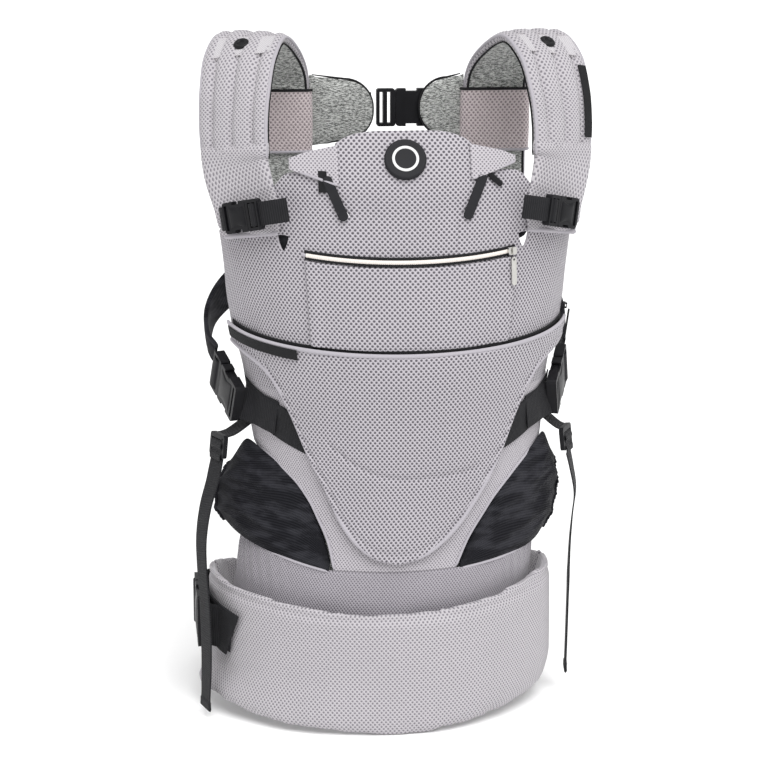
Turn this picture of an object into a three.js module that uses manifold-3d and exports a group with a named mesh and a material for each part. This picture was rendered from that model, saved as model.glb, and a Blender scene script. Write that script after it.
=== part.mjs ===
// Soft structured baby carrier, in the closed and worn shape, millimetres.
// +Z is up, -Y is the front (the side away from the wearer), +X is the viewer's right.
// The origin is the middle of the waist opening, at mid height of the belt.
import * as THREE from 'three';
import { mergeVertices } from 'three/addons/utils/BufferGeometryUtils.js';
import Module from 'manifold-3d';

const wasm = await Module();
wasm.setup();

// ---- driving dimensions -------------------------------------------------
const GAP = 0.4;                    // clearance between pieces that touch
const SHELL = 4;                    // thickness of the body panels
const BELT_HALF_WIDTH = 191;        // outer half axes of the belt
const BELT_FRONT_DEPTH = 148;
const BELT_BACK_DEPTH = 130;
const BELT_SHIFT = -17;             // the closed belt is drawn towards its buckle
const BELT_THICK = 14;
const BELT_FLARE = 22;              // how far the buckle side of the belt spreads at its foot
const WAIST_WEB = 50;               // waist webbing width
const SIDE_WEB = 38;                // side strap webbing width
const THIN_WEB = 25;                // shoulder and leg webbing width
const WEB_THICK = 1.6;
const SLOT = 3.8;                   // gap that webbing threads through
const STRAP_WIDTH = 84;             // padded shoulder strap at the front
const STRAP_BACK_WIDTH = 68;        // and where the sleeve runs on it
const STRAP_THICK = 12;
const STRAP_BACK = { x: 122, y: 98 };   // the straight stretch behind the shoulder
const SLEEVE = { z0: 531, z1: 602, wall: 2, clear: 2.5 };
const BADGE_Z = 547;
const ZIP_Z = 443;                  // pocket zip at the middle
const ZIP_RISE = 7;                 // how much higher its ends are
const HEADREST_Z0 = 487;            // fold line of the head support

// Smooth curve through a few [place, value] pairs.
function smooth(rows) {
  const slope = (i) => {
    const a = rows[Math.max(i - 1, 0)];
    const b = rows[Math.min(i + 1, rows.length - 1)];
    return (b[1] - a[1]) / (b[0] - a[0]);
  };
  return (t) => {
    if (t <= rows[0][0]) return rows[0][1];
    if (t >= rows[rows.length - 1][0]) return rows[rows.length - 1][1];
    const i = rows.findIndex((row) => row[0] > t) - 1;
    const [t0, v0] = rows[i];
    const [t1, v1] = rows[i + 1];
    const h = t1 - t0;
    const s = (t - t0) / h;
    return (1 + 2 * s) * (1 - s) ** 2 * v0 + s * (1 - s) ** 2 * h * slope(i)
      + s * s * (3 - 2 * s) * v1 + s * s * (s - 1) * h * slope(i + 1);
  };
}

// Half width and front depth of the body at each height.
const bodyHalfWidth = smooth([[30, 166], [165, 164], [235, 161], [310, 169], [360, 180], [440, 190], [500, 198], [600, 200]]);
const bodyDepth = smooth([[30, 127], [160, 124], [260, 130], [340, 136], [440, 125], [486, 119], [530, 110], [575, 86]]);

// The body leans over towards the belt's middle at its foot.
const bodyShift = smooth([[60, BELT_SHIFT], [200, 0]]);

const { lerp, degToRad } = THREE.MathUtils;
const vec = (x, y, z) => new THREE.Vector3(x, y, z);

// Point of the body at angle theta (0 is the front middle), height z, distance out.
function bodyPoint(theta, z, out) {
  const a = degToRad(theta);
  const x = bodyShift(z) + (bodyHalfWidth(z) + out) * Math.sin(a);
  return vec(x, -(bodyDepth(z) + out) * Math.cos(a), z);
}

function beltPoint(theta, z, out) {
  const a = degToRad(theta);
  const depth = Math.cos(a) > 0 ? BELT_FRONT_DEPTH : BELT_BACK_DEPTH;
  const flare = a < 0 ? BELT_FLARE * (1 - THREE.MathUtils.smoothstep(z, -65, -5)) : 0;
  return vec(BELT_SHIFT + (BELT_HALF_WIDTH + flare + out) * Math.sin(a), -(depth + out) * Math.cos(a), z);
}

// ---- the group and its materials ----------------------------------------
const carrier = new THREE.Group();

const LOOK = {
  mesh: [0xbdb9bd, 0.85, 0],
  heather: [0x8b8d8c, 0.9, 0],
  black_fabric: [0x29292d, 0.85, 0],
  webbing: [0x232326, 0.75, 0],
  plastic: [0x141416, 0.45, 0],
  rubber: [0x37373c, 0.6, 0],
  binding: [0x1d1d20, 0.8, 0],
  zip: [0xe9e2dd, 0.5, 0],
  metal: [0xcfcdc8, 0.3, 0.9],
};

function add(name, geometry, look) {
  const [color, roughness, metalness] = LOOK[look];
  const mesh = new THREE.Mesh(geometry, new THREE.MeshStandardMaterial({ color, roughness, metalness }));
  mesh.name = name;
  carrier.add(mesh);
  return mesh;
}

// ---- shape helpers --------------------------------------------------------
// A box whose every corner (u, v, w in 0..1) is moved to place(u, v, w).
function bentBox(nu, nv, place) {
  const box = new THREE.BoxGeometry(1, 1, 1, nu, nv, 1);
  box.deleteAttribute('normal');
  box.deleteAttribute('uv');
  const geometry = mergeVertices(box);
  const pos = geometry.attributes.position;
  for (let i = 0; i < pos.count; i += 1) {
    const p = place(pos.getX(i) + 0.5, pos.getY(i) + 0.5, pos.getZ(i) + 0.5);
    pos.setXYZ(i, p.x, p.y, p.z);
  }
  geometry.computeVertexNormals();
  return geometry;
}

// A layer of fabric on a curved surface: left/right are angles as functions of height share,
// bottom/top are heights as functions of the angle, inner/outer distances out.
// columns, if given, are the angles of the grid's columns.
function layer({ surface = bodyPoint, left, right, columns, bottom, top, inner, outer, nu, nv }) {
  const asFunction = (f) => (typeof f === 'function' ? f : () => f);
  const [l, r, b, t] = [left, right, bottom, top].map(asFunction);
  const count = columns ? columns.length - 1 : nu;
  return bentBox(count, nv, (u, v, w) => {
    const theta = columns ? columns[Math.round(u * count)] : lerp(l(v), r(v), u);
    const z = lerp(b(theta), t(theta), v);
    return surface(theta, z, lerp(inner, outer, w));
  });
}

// Where a strap runs at share v of its line: its middle, width direction and outward normal.
function strapFrame({ points, across }) {
  const curve = new THREE.CatmullRomCurve3(points.map((p) => vec(...p)));
  const acrossCurve = new THREE.CatmullRomCurve3(across.map((p) => vec(...p)));
  return (v) => {
    const along = curve.getTangent(v);
    const side = acrossCurve.getPoint(v);
    side.addScaledVector(along, -side.dot(along)).normalize();
    return { at: curve.getPoint(v), side, along, out: side.clone().cross(along) };
  };
}

// A strap along points [x, y, z], its width direction given at each point.
function strap({ width, thick, steps, nu = 2, crown = 0, ...line }) {
  const frame = strapFrame(line);
  const widthAt = typeof width === 'function' ? width : () => width;
  const thickAt = typeof thick === 'function' ? thick : () => thick;
  return bentBox(nu, steps, (u, v, w) => {
    const { at, side, out } = frame(v);
    const bulge = 1 - crown * (2 * u - 1) ** 2;
    return at
      .addScaledVector(side, (u - 0.5) * widthAt(v))
      .addScaledVector(out, (w - 0.5) * thickAt(v) * bulge);
  });
}

const mirrored = (side, [x, y, z]) => [side * x, y, z];

// Mirrors a strap written for the right side. Its width direction flips to keep faces out.
function mirrorLine(side, { points, across, ...rest }) {
  return {
    ...rest,
    points: points.map((p) => mirrored(side, p)),
    across: across.map(([x, y, z]) => (side > 0 ? [x, y, z] : [x, -y, -z])),
  };
}

function toManifold(geometry) {
  const plain = geometry.clone();
  plain.deleteAttribute('normal');
  plain.deleteAttribute('uv');
  const merged = mergeVertices(plain, 1e-4);
  const mesh = new wasm.Mesh({
    numProp: 3,
    vertProperties: new Float32Array(merged.attributes.position.array),
    triVerts: new Uint32Array(merged.index.array),
  });
  return new wasm.Manifold(mesh);
}

function toGeometry(solid) {
  const mesh = solid.getMesh();
  const geometry = new THREE.BufferGeometry();
  geometry.setAttribute('position', new THREE.BufferAttribute(new Float32Array(mesh.vertProperties), 3));
  geometry.setIndex(new THREE.BufferAttribute(new Uint32Array(mesh.triVerts), 1));
  geometry.computeVertexNormals();
  return geometry;
}

const boxSolid = (x, y, z, at) => toManifold(new THREE.BoxGeometry(x, y, z).translate(...at));

// A rounded rectangle plate in XY, from z0 to z1.
function plate(width, height, radius, z0, z1) {
  const [w, h] = [width / 2, height / 2];
  const shape = new THREE.Shape();
  shape.moveTo(-w + radius, -h);
  shape.absarc(w - radius, -h + radius, radius, -Math.PI / 2, 0);
  shape.absarc(w - radius, h - radius, radius, 0, Math.PI / 2);
  shape.absarc(-w + radius, h - radius, radius, Math.PI / 2, Math.PI);
  shape.absarc(-w + radius, -h + radius, radius, Math.PI, 1.5 * Math.PI);
  const geometry = new THREE.ExtrudeGeometry(shape, { depth: z1 - z0, bevelEnabled: false, curveSegments: 4 });
  return geometry.translate(0, 0, z0);
}

// ---- waist belt -------------------------------------------------------------
const beltTop = (theta) => 66 + 13 * Math.sin(degToRad(Math.min(Math.abs(theta), 90))) ** 2
  - 0.45 * Math.max(Math.abs(theta) - 95, 0);
const beltBottom = (theta) => -69 + 20 * Math.sin(degToRad(Math.min(Math.abs(theta), 90))) ** 2
  + 0.45 * Math.max(Math.abs(theta) - 95, 0);
const WING_START = 96;
const WING_END = 152;

function addBelt() {
  const belt = { surface: beltPoint, bottom: beltBottom, top: beltTop, inner: -BELT_THICK, outer: 0 };
  add('belt_front', layer({ ...belt, left: -WING_START, right: WING_START, nu: 30, nv: 3 }), 'mesh');
  const wing = { ...belt, nu: 8, nv: 3 };
  add('belt_wing_left', layer({ ...wing, left: -WING_END, right: -WING_START - 0.2 }), 'mesh');
  add('belt_wing_right', layer({ ...wing, left: WING_START + 0.2, right: WING_END }), 'mesh');
}

// ---- body panels -----------------------------------------------------------
const PANEL_EDGE = 84;
const GUSSET_TIP = 25;              // angle of the gusset's pointed inner end
// The seat band rises more towards the buckle side.
const bandTop = (theta) => 107 + (theta < 0 ? 27 : 9) * Math.max((Math.abs(theta) - GUSSET_TIP) / 59, 0);
const gussetInner = smooth([[108, 24], [139, 28], [162, 33], [184, 39], [206, 49], [222, 62], [234, 77], [300, PANEL_EDGE]]);
const gussetTop = smooth([[26, 112], [30, 139], [35, 162], [41, 184], [51, 206], [64, 222], [76, 231], [82, 222], [88, 202]]);
const SEAM_Z = 300;
const BODY_FOOT = 107.4;            // where the body panel meets the seat band
const headrestEdge = smooth([[HEADREST_Z0, 17], [530, 23], [575, 21]]);
const cornerTop = smooth([[17.5, 488], [22, 522], [25, 532], [38, 532], [43, 519], [48, 502], [54, 490], [66, 477], [84, 462]]);

// The panel's grid follows the notch that the head support sits in.
const HALF_COLUMNS = [17, 17.6, 20, 22.6, 25, 31, 38, 43, 48, 54, 60, 66, 75, PANEL_EDGE];
const UPPER_COLUMNS = [...HALF_COLUMNS.map((t) => -t).reverse(), -8.5, 0, 8.5, ...HALF_COLUMNS];

function upperTop(theta) {
  const t = Math.abs(theta);
  return t < 17.4 ? HEADREST_Z0 - 1 : cornerTop(t);
}

// The gap below the yoke's rolled edge, where the panel is cut away.
function yokeGap(side) {
  const shape = new THREE.Shape();
  shape.moveTo(-7, 8);
  shape.quadraticCurveTo(0, 10, 7, 8);
  shape.quadraticCurveTo(7, -4, 0, -9);
  shape.quadraticCurveTo(-7, -4, -7, 8);
  const prism = new THREE.ExtrudeGeometry(shape, { depth: 60, bevelEnabled: false, curveSegments: 3 });
  prism.translate(0, 0, -30).rotateX(Math.PI / 2).rotateZ(degToRad(side * 30));
  return toManifold(prism.translate(side * 127, -92, 459));
}

function addBody() {
  const shell = { inner: -SHELL, outer: 0 };
  add('seat_band', layer({
    ...shell, left: -PANEL_EDGE, right: PANEL_EDGE, bottom: 34, top: (t) => bandTop(t) - GAP, nu: 22, nv: 3,
  }), 'mesh');
  add('body_panel', layer({
    ...shell,
    left: (v) => -gussetInner(lerp(BODY_FOOT, SEAM_Z, v)),
    right: (v) => gussetInner(lerp(BODY_FOOT, SEAM_Z, v)),
    bottom: BODY_FOOT,
    top: SEAM_Z - GAP,
    nu: 16,
    nv: 14,
  }), 'mesh');
  let upper = toManifold(layer({
    ...shell, columns: UPPER_COLUMNS, bottom: SEAM_Z, top: upperTop, nv: 6,
  }));
  for (const side of [-1, 1]) upper = upper.subtract(yokeGap(side));
  add('upper_panel', toGeometry(upper), 'mesh');
  add('inner_lining', layer({
    inner: -SHELL - 7, outer: -SHELL - 4, left: (v) => lerp(-80, -64, v), right: (v) => lerp(80, 64, v),
    bottom: 42, top: 470, nu: 14, nv: 7,
  }), 'heather');
  for (const [side, name] of [[-1, 'left'], [1, 'right']]) {
    add(`gusset_${name}`, bentBox(8, 4, (u, v, w) => {
      const angle = lerp(GUSSET_TIP + 1, 88, u);
      const z = lerp(bandTop(side * angle) + 1, gussetTop(angle), v);
      const bulge = (side < 0 ? 30 : 20) * u * u * Math.sin(Math.PI * (0.2 + 0.6 * v));
      return bodyPoint(side * angle, z, bulge + side * (w - 0.5) * 3 - 1.5);
    }), 'black_fabric');
  }
}

// ---- overlay, pocket and zips ----------------------------------------------
const overlayBottom = smooth([[0, 117], [10, 126], [20, 152], [30, 196], [38, 234], [46, 284], [54, 317], [66, 334], [82, 345]]);
const overlayTop = (theta) => 345 + 19 * (theta / 82) ** 2;
const OVERLAY_EDGE = 81;
const zipHeight = (theta) => ZIP_Z + ZIP_RISE * (theta / 35) ** 2;
const ZIP_LEFT = -33;
const ZIP_RIGHT = 37;

function tube(points, radius, steps) {
  const shape = new THREE.Shape();
  shape.absarc(0, 0, radius, 0, 2 * Math.PI);
  return new THREE.ExtrudeGeometry(shape, {
    extrudePath: new THREE.CatmullRomCurve3(points), steps, curveSegments: 4, bevelEnabled: false,
  });
}

function addOverlay() {
  add('overlay_panel', layer({
    left: -OVERLAY_EDGE, right: OVERLAY_EDGE, bottom: (t) => overlayBottom(Math.abs(t)), top: overlayTop,
    inner: 4.6, outer: 7.6, nu: 30, nv: 4,
  }), 'mesh');
  const edge = [-78, -60, -40, -20, 0, 20, 40, 60, 78];
  add('overlay_top_binding', tube(edge.map((t) => bodyPoint(t, overlayTop(t) + 3, 6.5)), 2.2, 26), 'mesh');
  add('overlay_zip', layer({
    left: -76, right: 76, bottom: (t) => overlayTop(t) - 14, top: (t) => overlayTop(t) + 5,
    inner: 0.8, outer: 2.6, nu: 24, nv: 1,
  }), 'binding');
}

// Zip slider: two plates joined by a neck over the coil, with a bridge for the pull.
function sliderSolid(size) {
  const body = toManifold(plate(size, size * 0.8, size * 0.2, 0, 2.4));
  const bridge = boxSolid(size * 0.22, size * 0.7, 2.4, [0, 0, 3.4]);
  const eye = boxSolid(size * 0.3, size * 0.3, 1.2, [0, 0, 3.0]);
  return body.add(bridge).subtract(eye);
}

// Puts a geometry drawn in XY (x across, y up, z out) on the body at theta, z, out.
function placeOnBody(geometry, theta, z, out, roll = 0) {
  const here = bodyPoint(theta, z, out);
  const across = bodyPoint(theta + 1, z, out).sub(bodyPoint(theta - 1, z, out)).normalize();
  const up = bodyPoint(theta, z + 4, out).sub(bodyPoint(theta, z - 4, out));
  up.addScaledVector(across, -up.dot(across)).normalize();
  const normal = across.clone().cross(up);
  const basis = new THREE.Matrix4().makeBasis(across, up, normal).setPosition(here);
  return geometry.clone().applyMatrix4(new THREE.Matrix4().makeRotationZ(degToRad(roll))).applyMatrix4(basis);
}

const PULL_LENGTH = 30;
const PULL_DROP = 6;                // from the pocket slider's middle to the top of its pull

function pullGeometry(length, width, thick) {
  const tongue = toManifold(plate(width, length, width * 0.45, 0, thick).translate(0, -length / 2, 0));
  const eye = toManifold(plate(width * 0.4, width * 0.4, width * 0.15, -1, thick + 1).translate(0, -width * 0.45, 0));
  return toGeometry(tongue.subtract(eye));
}

function addPocket() {
  add('pocket_panel', layer({
    left: ZIP_LEFT, right: ZIP_RIGHT, bottom: (t) => overlayTop(t) + 7, top: (t) => zipHeight(t) - 6.6,
    inner: 0.8, outer: 3.2, nu: 14, nv: 3,
  }), 'mesh');
  add('pocket_zip_tape', layer({
    left: ZIP_LEFT, right: ZIP_RIGHT, bottom: (t) => zipHeight(t) - 6.2, top: (t) => zipHeight(t) + 6.2,
    inner: 0.6, outer: 2.2, nu: 16, nv: 1,
  }), 'binding');
  add('pocket_zip_coil', layer({
    left: ZIP_LEFT + 0.5, right: ZIP_RIGHT - 0.5, bottom: (t) => zipHeight(t) - 2.4, top: (t) => zipHeight(t) + 2.4,
    inner: 2.6, outer: 3.8, nu: 16, nv: 1,
  }), 'zip');
  const end = ZIP_RIGHT - 2;
  add('pocket_zip_slider', placeOnBody(toGeometry(sliderSolid(10)), end, zipHeight(end), 4.6), 'metal');
  add('pocket_zip_pull', placeOnBody(pullGeometry(PULL_LENGTH, 6, 1.6), end, zipHeight(end) - PULL_DROP, 7.8), 'metal');
}

function addOverlayPull() {
  const [end, height] = [79.5, overlayTop(79.5) + 12.5];
  add('overlay_zip_slider', placeOnBody(toGeometry(sliderSolid(9)), end, height, 3), 'plastic');
  add('overlay_zip_pull', placeOnBody(pullGeometry(30, 8, 2), end, height - 4, 9.2), 'plastic');
}

// ---- head support -----------------------------------------------------------
function addHeadrest() {
  const z = (v) => lerp(HEADREST_Z0, 560, v);
  add('headrest', layer({
    inner: -SHELL, outer: 0, left: (v) => -headrestEdge(z(v)) + 0.8, right: (v) => headrestEdge(z(v)) - 0.8,
    bottom: HEADREST_Z0, top: (t) => 575 - 18 * (t / 23) ** 4, nu: 10, nv: 7,
  }), 'mesh');
  const profile = [[0, 0], [22, 0], [22, 1.8], [21, 2.4], [0, 2.4]].map((p) => new THREE.Vector2(...p));
  const disc = new THREE.LatheGeometry(profile, 24).rotateX(Math.PI / 2);
  add('headrest_badge', placeOnBody(disc, 0, BADGE_Z, 1.6), 'rubber');
  for (const [side, name] of [[-1, 'left'], [1, 'right']]) {
    const flap = { inner: 0.8, outer: 3.4, nu: 5, nv: 2 };
    const bottom = (t) => lerp(530, 542, (Math.abs(t) - 22) / 14);
    const top = (t) => lerp(557, 550, (Math.abs(t) - 22) / 14);
    const [near, far] = side < 0 ? [-36, -22] : [22, 36];
    add(`ear_flap_${name}`, layer({ ...flap, left: near, right: far, bottom, top }), 'mesh');
    const trim = plate(10, 50, 4.8, 0, 2.2);
    add(`trim_strip_${name}`, placeOnBody(trim, side * 21.4, 508, 1, side * -25), 'rubber');
  }
}

// ---- shoulder straps ----------------------------------------------------------
const STRAP_LINE = {
  points: [
    [174, -50, 541], [175, -43, 577], [173, -33, 608], [166, -8, 645], [152, 30, 664], [134, 70, 647],
    [STRAP_BACK.x + 1, 93, 617], [STRAP_BACK.x, STRAP_BACK.y, 583], [STRAP_BACK.x, STRAP_BACK.y, 540],
    [STRAP_BACK.x, STRAP_BACK.y, 500], [STRAP_BACK.x, STRAP_BACK.y, 465], [STRAP_BACK.x, STRAP_BACK.y, 440],
  ],
  across: [
    [0.78, 0.62, 0], [0.8, 0.6, 0], [0.82, 0.57, 0], [0.84, 0.54, 0], [0.87, 0.5, 0], [0.93, 0.35, 0],
    [0.99, 0.1, 0], [1, 0, 0], [1, 0, 0], [1, 0, 0], [1, 0, 0], [1, 0, 0],
  ],
};

function strapWidth(v) {
  return lerp(STRAP_WIDTH, STRAP_BACK_WIDTH, THREE.MathUtils.smoothstep(v, 0.25, 0.55));
}

const SNAP_SHARE = 0.3;             // share of the strap's line where the snap cap sits
// The buckle side's strap end stands further out than the other one.
function strapEndLine(side) {
  const bow = side < 0 ? 7 : -7;
  return {
    points: [
      [STRAP_BACK.x, 98, 439], [STRAP_BACK.x, 98, 424], [140, 96, 400], [172 + bow / 2, 80, 378], [193 + bow, 54, 354],
      [197 + bow, 36, 328], [194 + bow / 2, 26, 314],
    ],
    across: [
      [1, 0, 0], [1, 0, 0], [0.9, -0.4, 0.2], [0.6, -0.6, 0.5], [0.2, -0.7, 0.7], [0.05, -0.7, 0.7], [0, -0.6, 0.8],
    ],
    width: (v) => lerp(66, 40, v ** 1.4), thick: (v) => lerp(10, 5, v), steps: 14, nu: 3, crown: 0.3,
  };
}

function addShoulderStraps() {
  for (const [side, name] of [[-1, 'left'], [1, 'right']]) {
    const line = mirrorLine(side, STRAP_LINE);
    add(`shoulder_strap_${name}`, strap({
      ...line, width: strapWidth, thick: STRAP_THICK, steps: 30, nu: 4, crown: 0.35,
    }), 'mesh');
    add(`strap_yoke_${name}`, strap(mirrorLine(side, {
      points: [[173.5, -51.5, 536], [172, -60, 510], [167, -75.5, 470]],
      across: [[0.78, 0.62, 0], [0.75, 0.66, 0], [0.72, 0.69, 0]],
      width: (v) => lerp(86, 92, v), thick: 5, steps: 5, nu: 4,
    })), 'mesh');
    add(`strap_end_${name}`, strap(mirrorLine(side, strapEndLine(side))), 'black_fabric');
    const { at, out, along } = strapFrame(line)(SNAP_SHARE);
    const cap = [[0, 0], [8.6, 0], [8.6, 1.6], [6.5, 2.8], [0, 2.8]].map((p) => new THREE.Vector2(...p));
    const snap = new THREE.LatheGeometry(cap, 16).rotateX(Math.PI / 2);
    const seat = at.addScaledVector(out, STRAP_THICK / 2 + 0.8);
    add(`snap_${name}`, placeAt(snap, seat.toArray(), along.toArray(), out.toArray()), 'plastic');
  }
}

// ---- sleeves, cross pads and chest buckle -----------------------------------------
function sleeveGeometry() {
  const depth = SLEEVE.z1 - SLEEVE.z0;
  const innerWidth = STRAP_BACK_WIDTH + 2 * SLEEVE.clear;
  const innerThick = STRAP_THICK + 2 * SLEEVE.clear;
  const outer = toManifold(plate(innerWidth + 2 * SLEEVE.wall, innerThick + 2 * SLEEVE.wall, 7, 0, depth));
  const inner = toManifold(plate(innerWidth, innerThick, 5.5, -1, depth + 1));
  return toGeometry(outer.subtract(inner));
}

// A pad with a round inner end, drawn flat: x runs from the sleeve to the inner end.
function padGeometry(length, height, drop) {
  const shape = new THREE.Shape();
  const r = height / 2 - drop - 2;
  shape.moveTo(0, -height / 2);
  shape.lineTo(length - r, -height / 2 + drop);
  shape.absarc(length - r, -height / 2 + drop + r, r, -Math.PI / 2, 0);
  shape.absarc(length - r, height / 2 - drop - r, r, 0, Math.PI / 2);
  shape.lineTo(0, height / 2);
  return new THREE.ExtrudeGeometry(shape, { depth: 8, bevelEnabled: false, curveSegments: 5 }).translate(0, 0, -4);
}

const SLEEVE_EDGE = STRAP_BACK.x - STRAP_BACK_WIDTH / 2 - SLEEVE.clear - SLEEVE.wall;
const CHEST_Z = 578;
const LEFT_PAD_LENGTH = 68;
const RIGHT_PAD_LENGTH = 46;

function addChestStrap() {
  for (const [side, name] of [[-1, 'left'], [1, 'right']]) {
    const sleeve = sleeveGeometry().translate(side * STRAP_BACK.x, STRAP_BACK.y, SLEEVE.z0);
    add(`sleeve_${name}`, sleeve, 'mesh');
  }
  const left = padGeometry(LEFT_PAD_LENGTH, 78, 5).rotateX(Math.PI / 2);
  add('cross_pad_left', left.translate(-SLEEVE_EDGE + GAP, STRAP_BACK.y, CHEST_Z), 'heather');
  const right = padGeometry(RIGHT_PAD_LENGTH, 74, 4).rotateX(Math.PI / 2).rotateZ(Math.PI);
  add('cross_pad_right', right.translate(SLEEVE_EDGE - GAP, STRAP_BACK.y, CHEST_Z + 2), 'heather');
}

// ---- side-release buckles --------------------------------------------------------
// Drawn flat: the halves meet along X, y is across the webbing, z is out of the wearer.
// The socket opens towards -X. The plug's prongs stay inside the socket's mouth.
function socketSolid(web, thick) {
  const height = web + 8;
  const length = web * 1.25;
  const wall = 2.2;
  const shell = toManifold(plate(length, height, 4, -thick / 2, thick / 2).translate(length / 2, 0, 0));
  const mouth = boxSolid(length * 0.72, height - 2 * wall, thick - 2 * wall, [length * 0.36 - 1, 0, 0]);
  const slot = boxSolid(SLOT, web + 1, thick + 2, [length * 0.87, 0, 0]);
  let solid = shell.subtract(mouth).subtract(slot);
  for (const side of [-1, 1]) {
    solid = solid.subtract(boxSolid(length * 0.3, 6, thick + 2, [length * 0.42, side * (height / 2), 0]));
  }
  return solid;
}

function plugSolid(web, thick) {
  const height = web + 8;
  const base = web * 0.62;
  let solid = toManifold(plate(base, height, 3, -thick / 2, thick / 2).translate(-base / 2 - GAP, 0, 0));
  for (const place of [0.34, 0.74]) {
    solid = solid.subtract(boxSolid(SLOT, web + 1, thick + 2, [-base * place - GAP, 0, 0]));
  }
  const reach = web * 1.25 * 0.6;
  const prong = thick - 2 * 2.2 - 1.2;
  for (const side of [-1, 1]) {
    solid = solid.add(boxSolid(reach + 2, 3.6, prong, [reach / 2 - 1, side * (height / 2 - 5.2), 0]));
    solid = solid.add(boxSolid(reach * 0.34, 6, prong, [reach * 0.7, side * (height / 2 - 6.4), 0]));
  }
  return solid.add(boxSolid(reach * 0.85 + 2, 4, prong, [reach * 0.425 - 1, 0, 0]));
}

// Puts a flat buckle or webbing at a point: along is its X, out is its Z.
function placeAt(geometry, at, along, out) {
  const x = vec(...along).normalize();
  const z = vec(...out);
  z.addScaledVector(x, -z.dot(x)).normalize();
  const basis = new THREE.Matrix4().makeBasis(x, z.clone().cross(x), z).setPosition(...at);
  return geometry.clone().applyMatrix4(basis);
}

const SHOULDER_AT = [162, -90, 489];
const SHOULDER_ALONG = [0.74, 0.66, -0.2];
const SHOULDER_OUT = [0.67, -0.74, 0];
const BUCKLES = {
  chest: { web: 34, thick: 11, at: [11, STRAP_BACK.y + 10, CHEST_Z + 1], along: [1, 0, 0], out: [0, 1, 0] },
  shoulder_left: {
    web: THIN_WEB, thick: 9, at: mirrored(-1, SHOULDER_AT), along: mirrored(-1, SHOULDER_ALONG),
    out: mirrored(-1, SHOULDER_OUT),
  },
  shoulder_right: { web: THIN_WEB, thick: 9, at: SHOULDER_AT, along: SHOULDER_ALONG, out: SHOULDER_OUT },
  side_left: { web: SIDE_WEB, thick: 11, at: [-189, -8, 296], along: [0.3, -0.86, -0.42], out: [-0.95, -0.3, 0] },
  side_right: { web: SIDE_WEB, thick: 11, at: [182, -8, 296], along: [-0.3, -0.86, -0.42], out: [0.95, -0.3, 0] },
  waist: { web: WAIST_WEB, thick: 12, at: [-218, 12, 32], along: [0.02, -1, 0], out: [-1, 0, 0] },
};

function addBuckles() {
  for (const [name, b] of Object.entries(BUCKLES)) {
    add(`${name}_buckle_socket`, placeAt(toGeometry(socketSolid(b.web, b.thick)), b.at, b.along, b.out), 'plastic');
    add(`${name}_buckle_plug`, placeAt(toGeometry(plugSolid(b.web, b.thick)), b.at, b.along, b.out), 'plastic');
  }
}

// ---- webbing ------------------------------------------------------------------------
// The wide webbing of the side straps comes out from under the overlay.
function addWebbing() {
  for (const [side, name] of [[-1, 'left'], [1, 'right']]) {
    const [near, far] = side < 0 ? [-78, -34] : [34, 78];
    const bottom = (t) => lerp(228, 268, (Math.abs(t) - 34) / 48);
    add(`side_webbing_${name}`, layer({
      left: near, right: far, bottom, top: (t) => bottom(t) + SIDE_WEB + 2, inner: 0.8, outer: 2.4, nu: 10, nv: 1,
    }), 'webbing');
    const [at, along, out] = [SHOULDER_AT, SHOULDER_ALONG, SHOULDER_OUT].map((p) => vec(...mirrored(side, p)));
    const step = ([back, lift]) => at.clone().addScaledVector(along, -back).addScaledVector(out, lift).toArray();
    add(`shoulder_webbing_${name}`, strap({
      points: [[17, 0], [28, -1], [38, -4], [47, -9]].map(step),
      across: new Array(4).fill(side > 0 ? [0, 0, -1] : [0, 0, 1]),
      width: THIN_WEB, thick: WEB_THICK, steps: 6, nu: 1,
    }), 'webbing');
  }
  add('waist_patch', layer({
    surface: beltPoint, left: -84, right: (v) => lerp(-63, -55, v),
    bottom: (t) => lerp(-4, 12, (-t - 55) / 29), top: (t) => lerp(50, 66, (-t - 55) / 29),
    inner: 0.6, outer: 2.4, nu: 6, nv: 2,
  }), 'webbing');
  const round = [-134, -150, -166, -182, -198, -212].map((t) => beltPoint(t, lerp(26, 14, (-t - 134) / 78), 4.5));
  add('waist_webbing', strap({
    points: [[-217.5, 46, 32], [-214, 60, 31], [-201, 77, 30], [-176, 97, 28], ...round.map((p) => p.toArray())],
    across: new Array(10).fill([0, 0, 1]),
    width: WAIST_WEB, thick: WEB_THICK, steps: 26, nu: 1,
  }), 'webbing');
}

// ---- leg adjusters and their hanging tails -----------------------------------------------
// A ladder lock: a frame with a middle bar, drawn with its length along X.
function ladderSolid() {
  const height = THIN_WEB + 8;
  let solid = toManifold(plate(26, height, 4, -2.5, 2.5));
  for (const place of [-5.6, 5.6]) solid = solid.subtract(boxSolid(SLOT, THIN_WEB + 1, 7, [place, 0, 0]));
  return solid;
}

const LADDERS = {
  left: { at: [-196, -30, 228], along: [-0.1, -0.05, -1], out: [-0.9, -0.42, 0.05] },
  right: { at: [187, -30, 228], along: [0.1, -0.05, -1], out: [0.9, -0.42, 0.05] },
};

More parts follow.
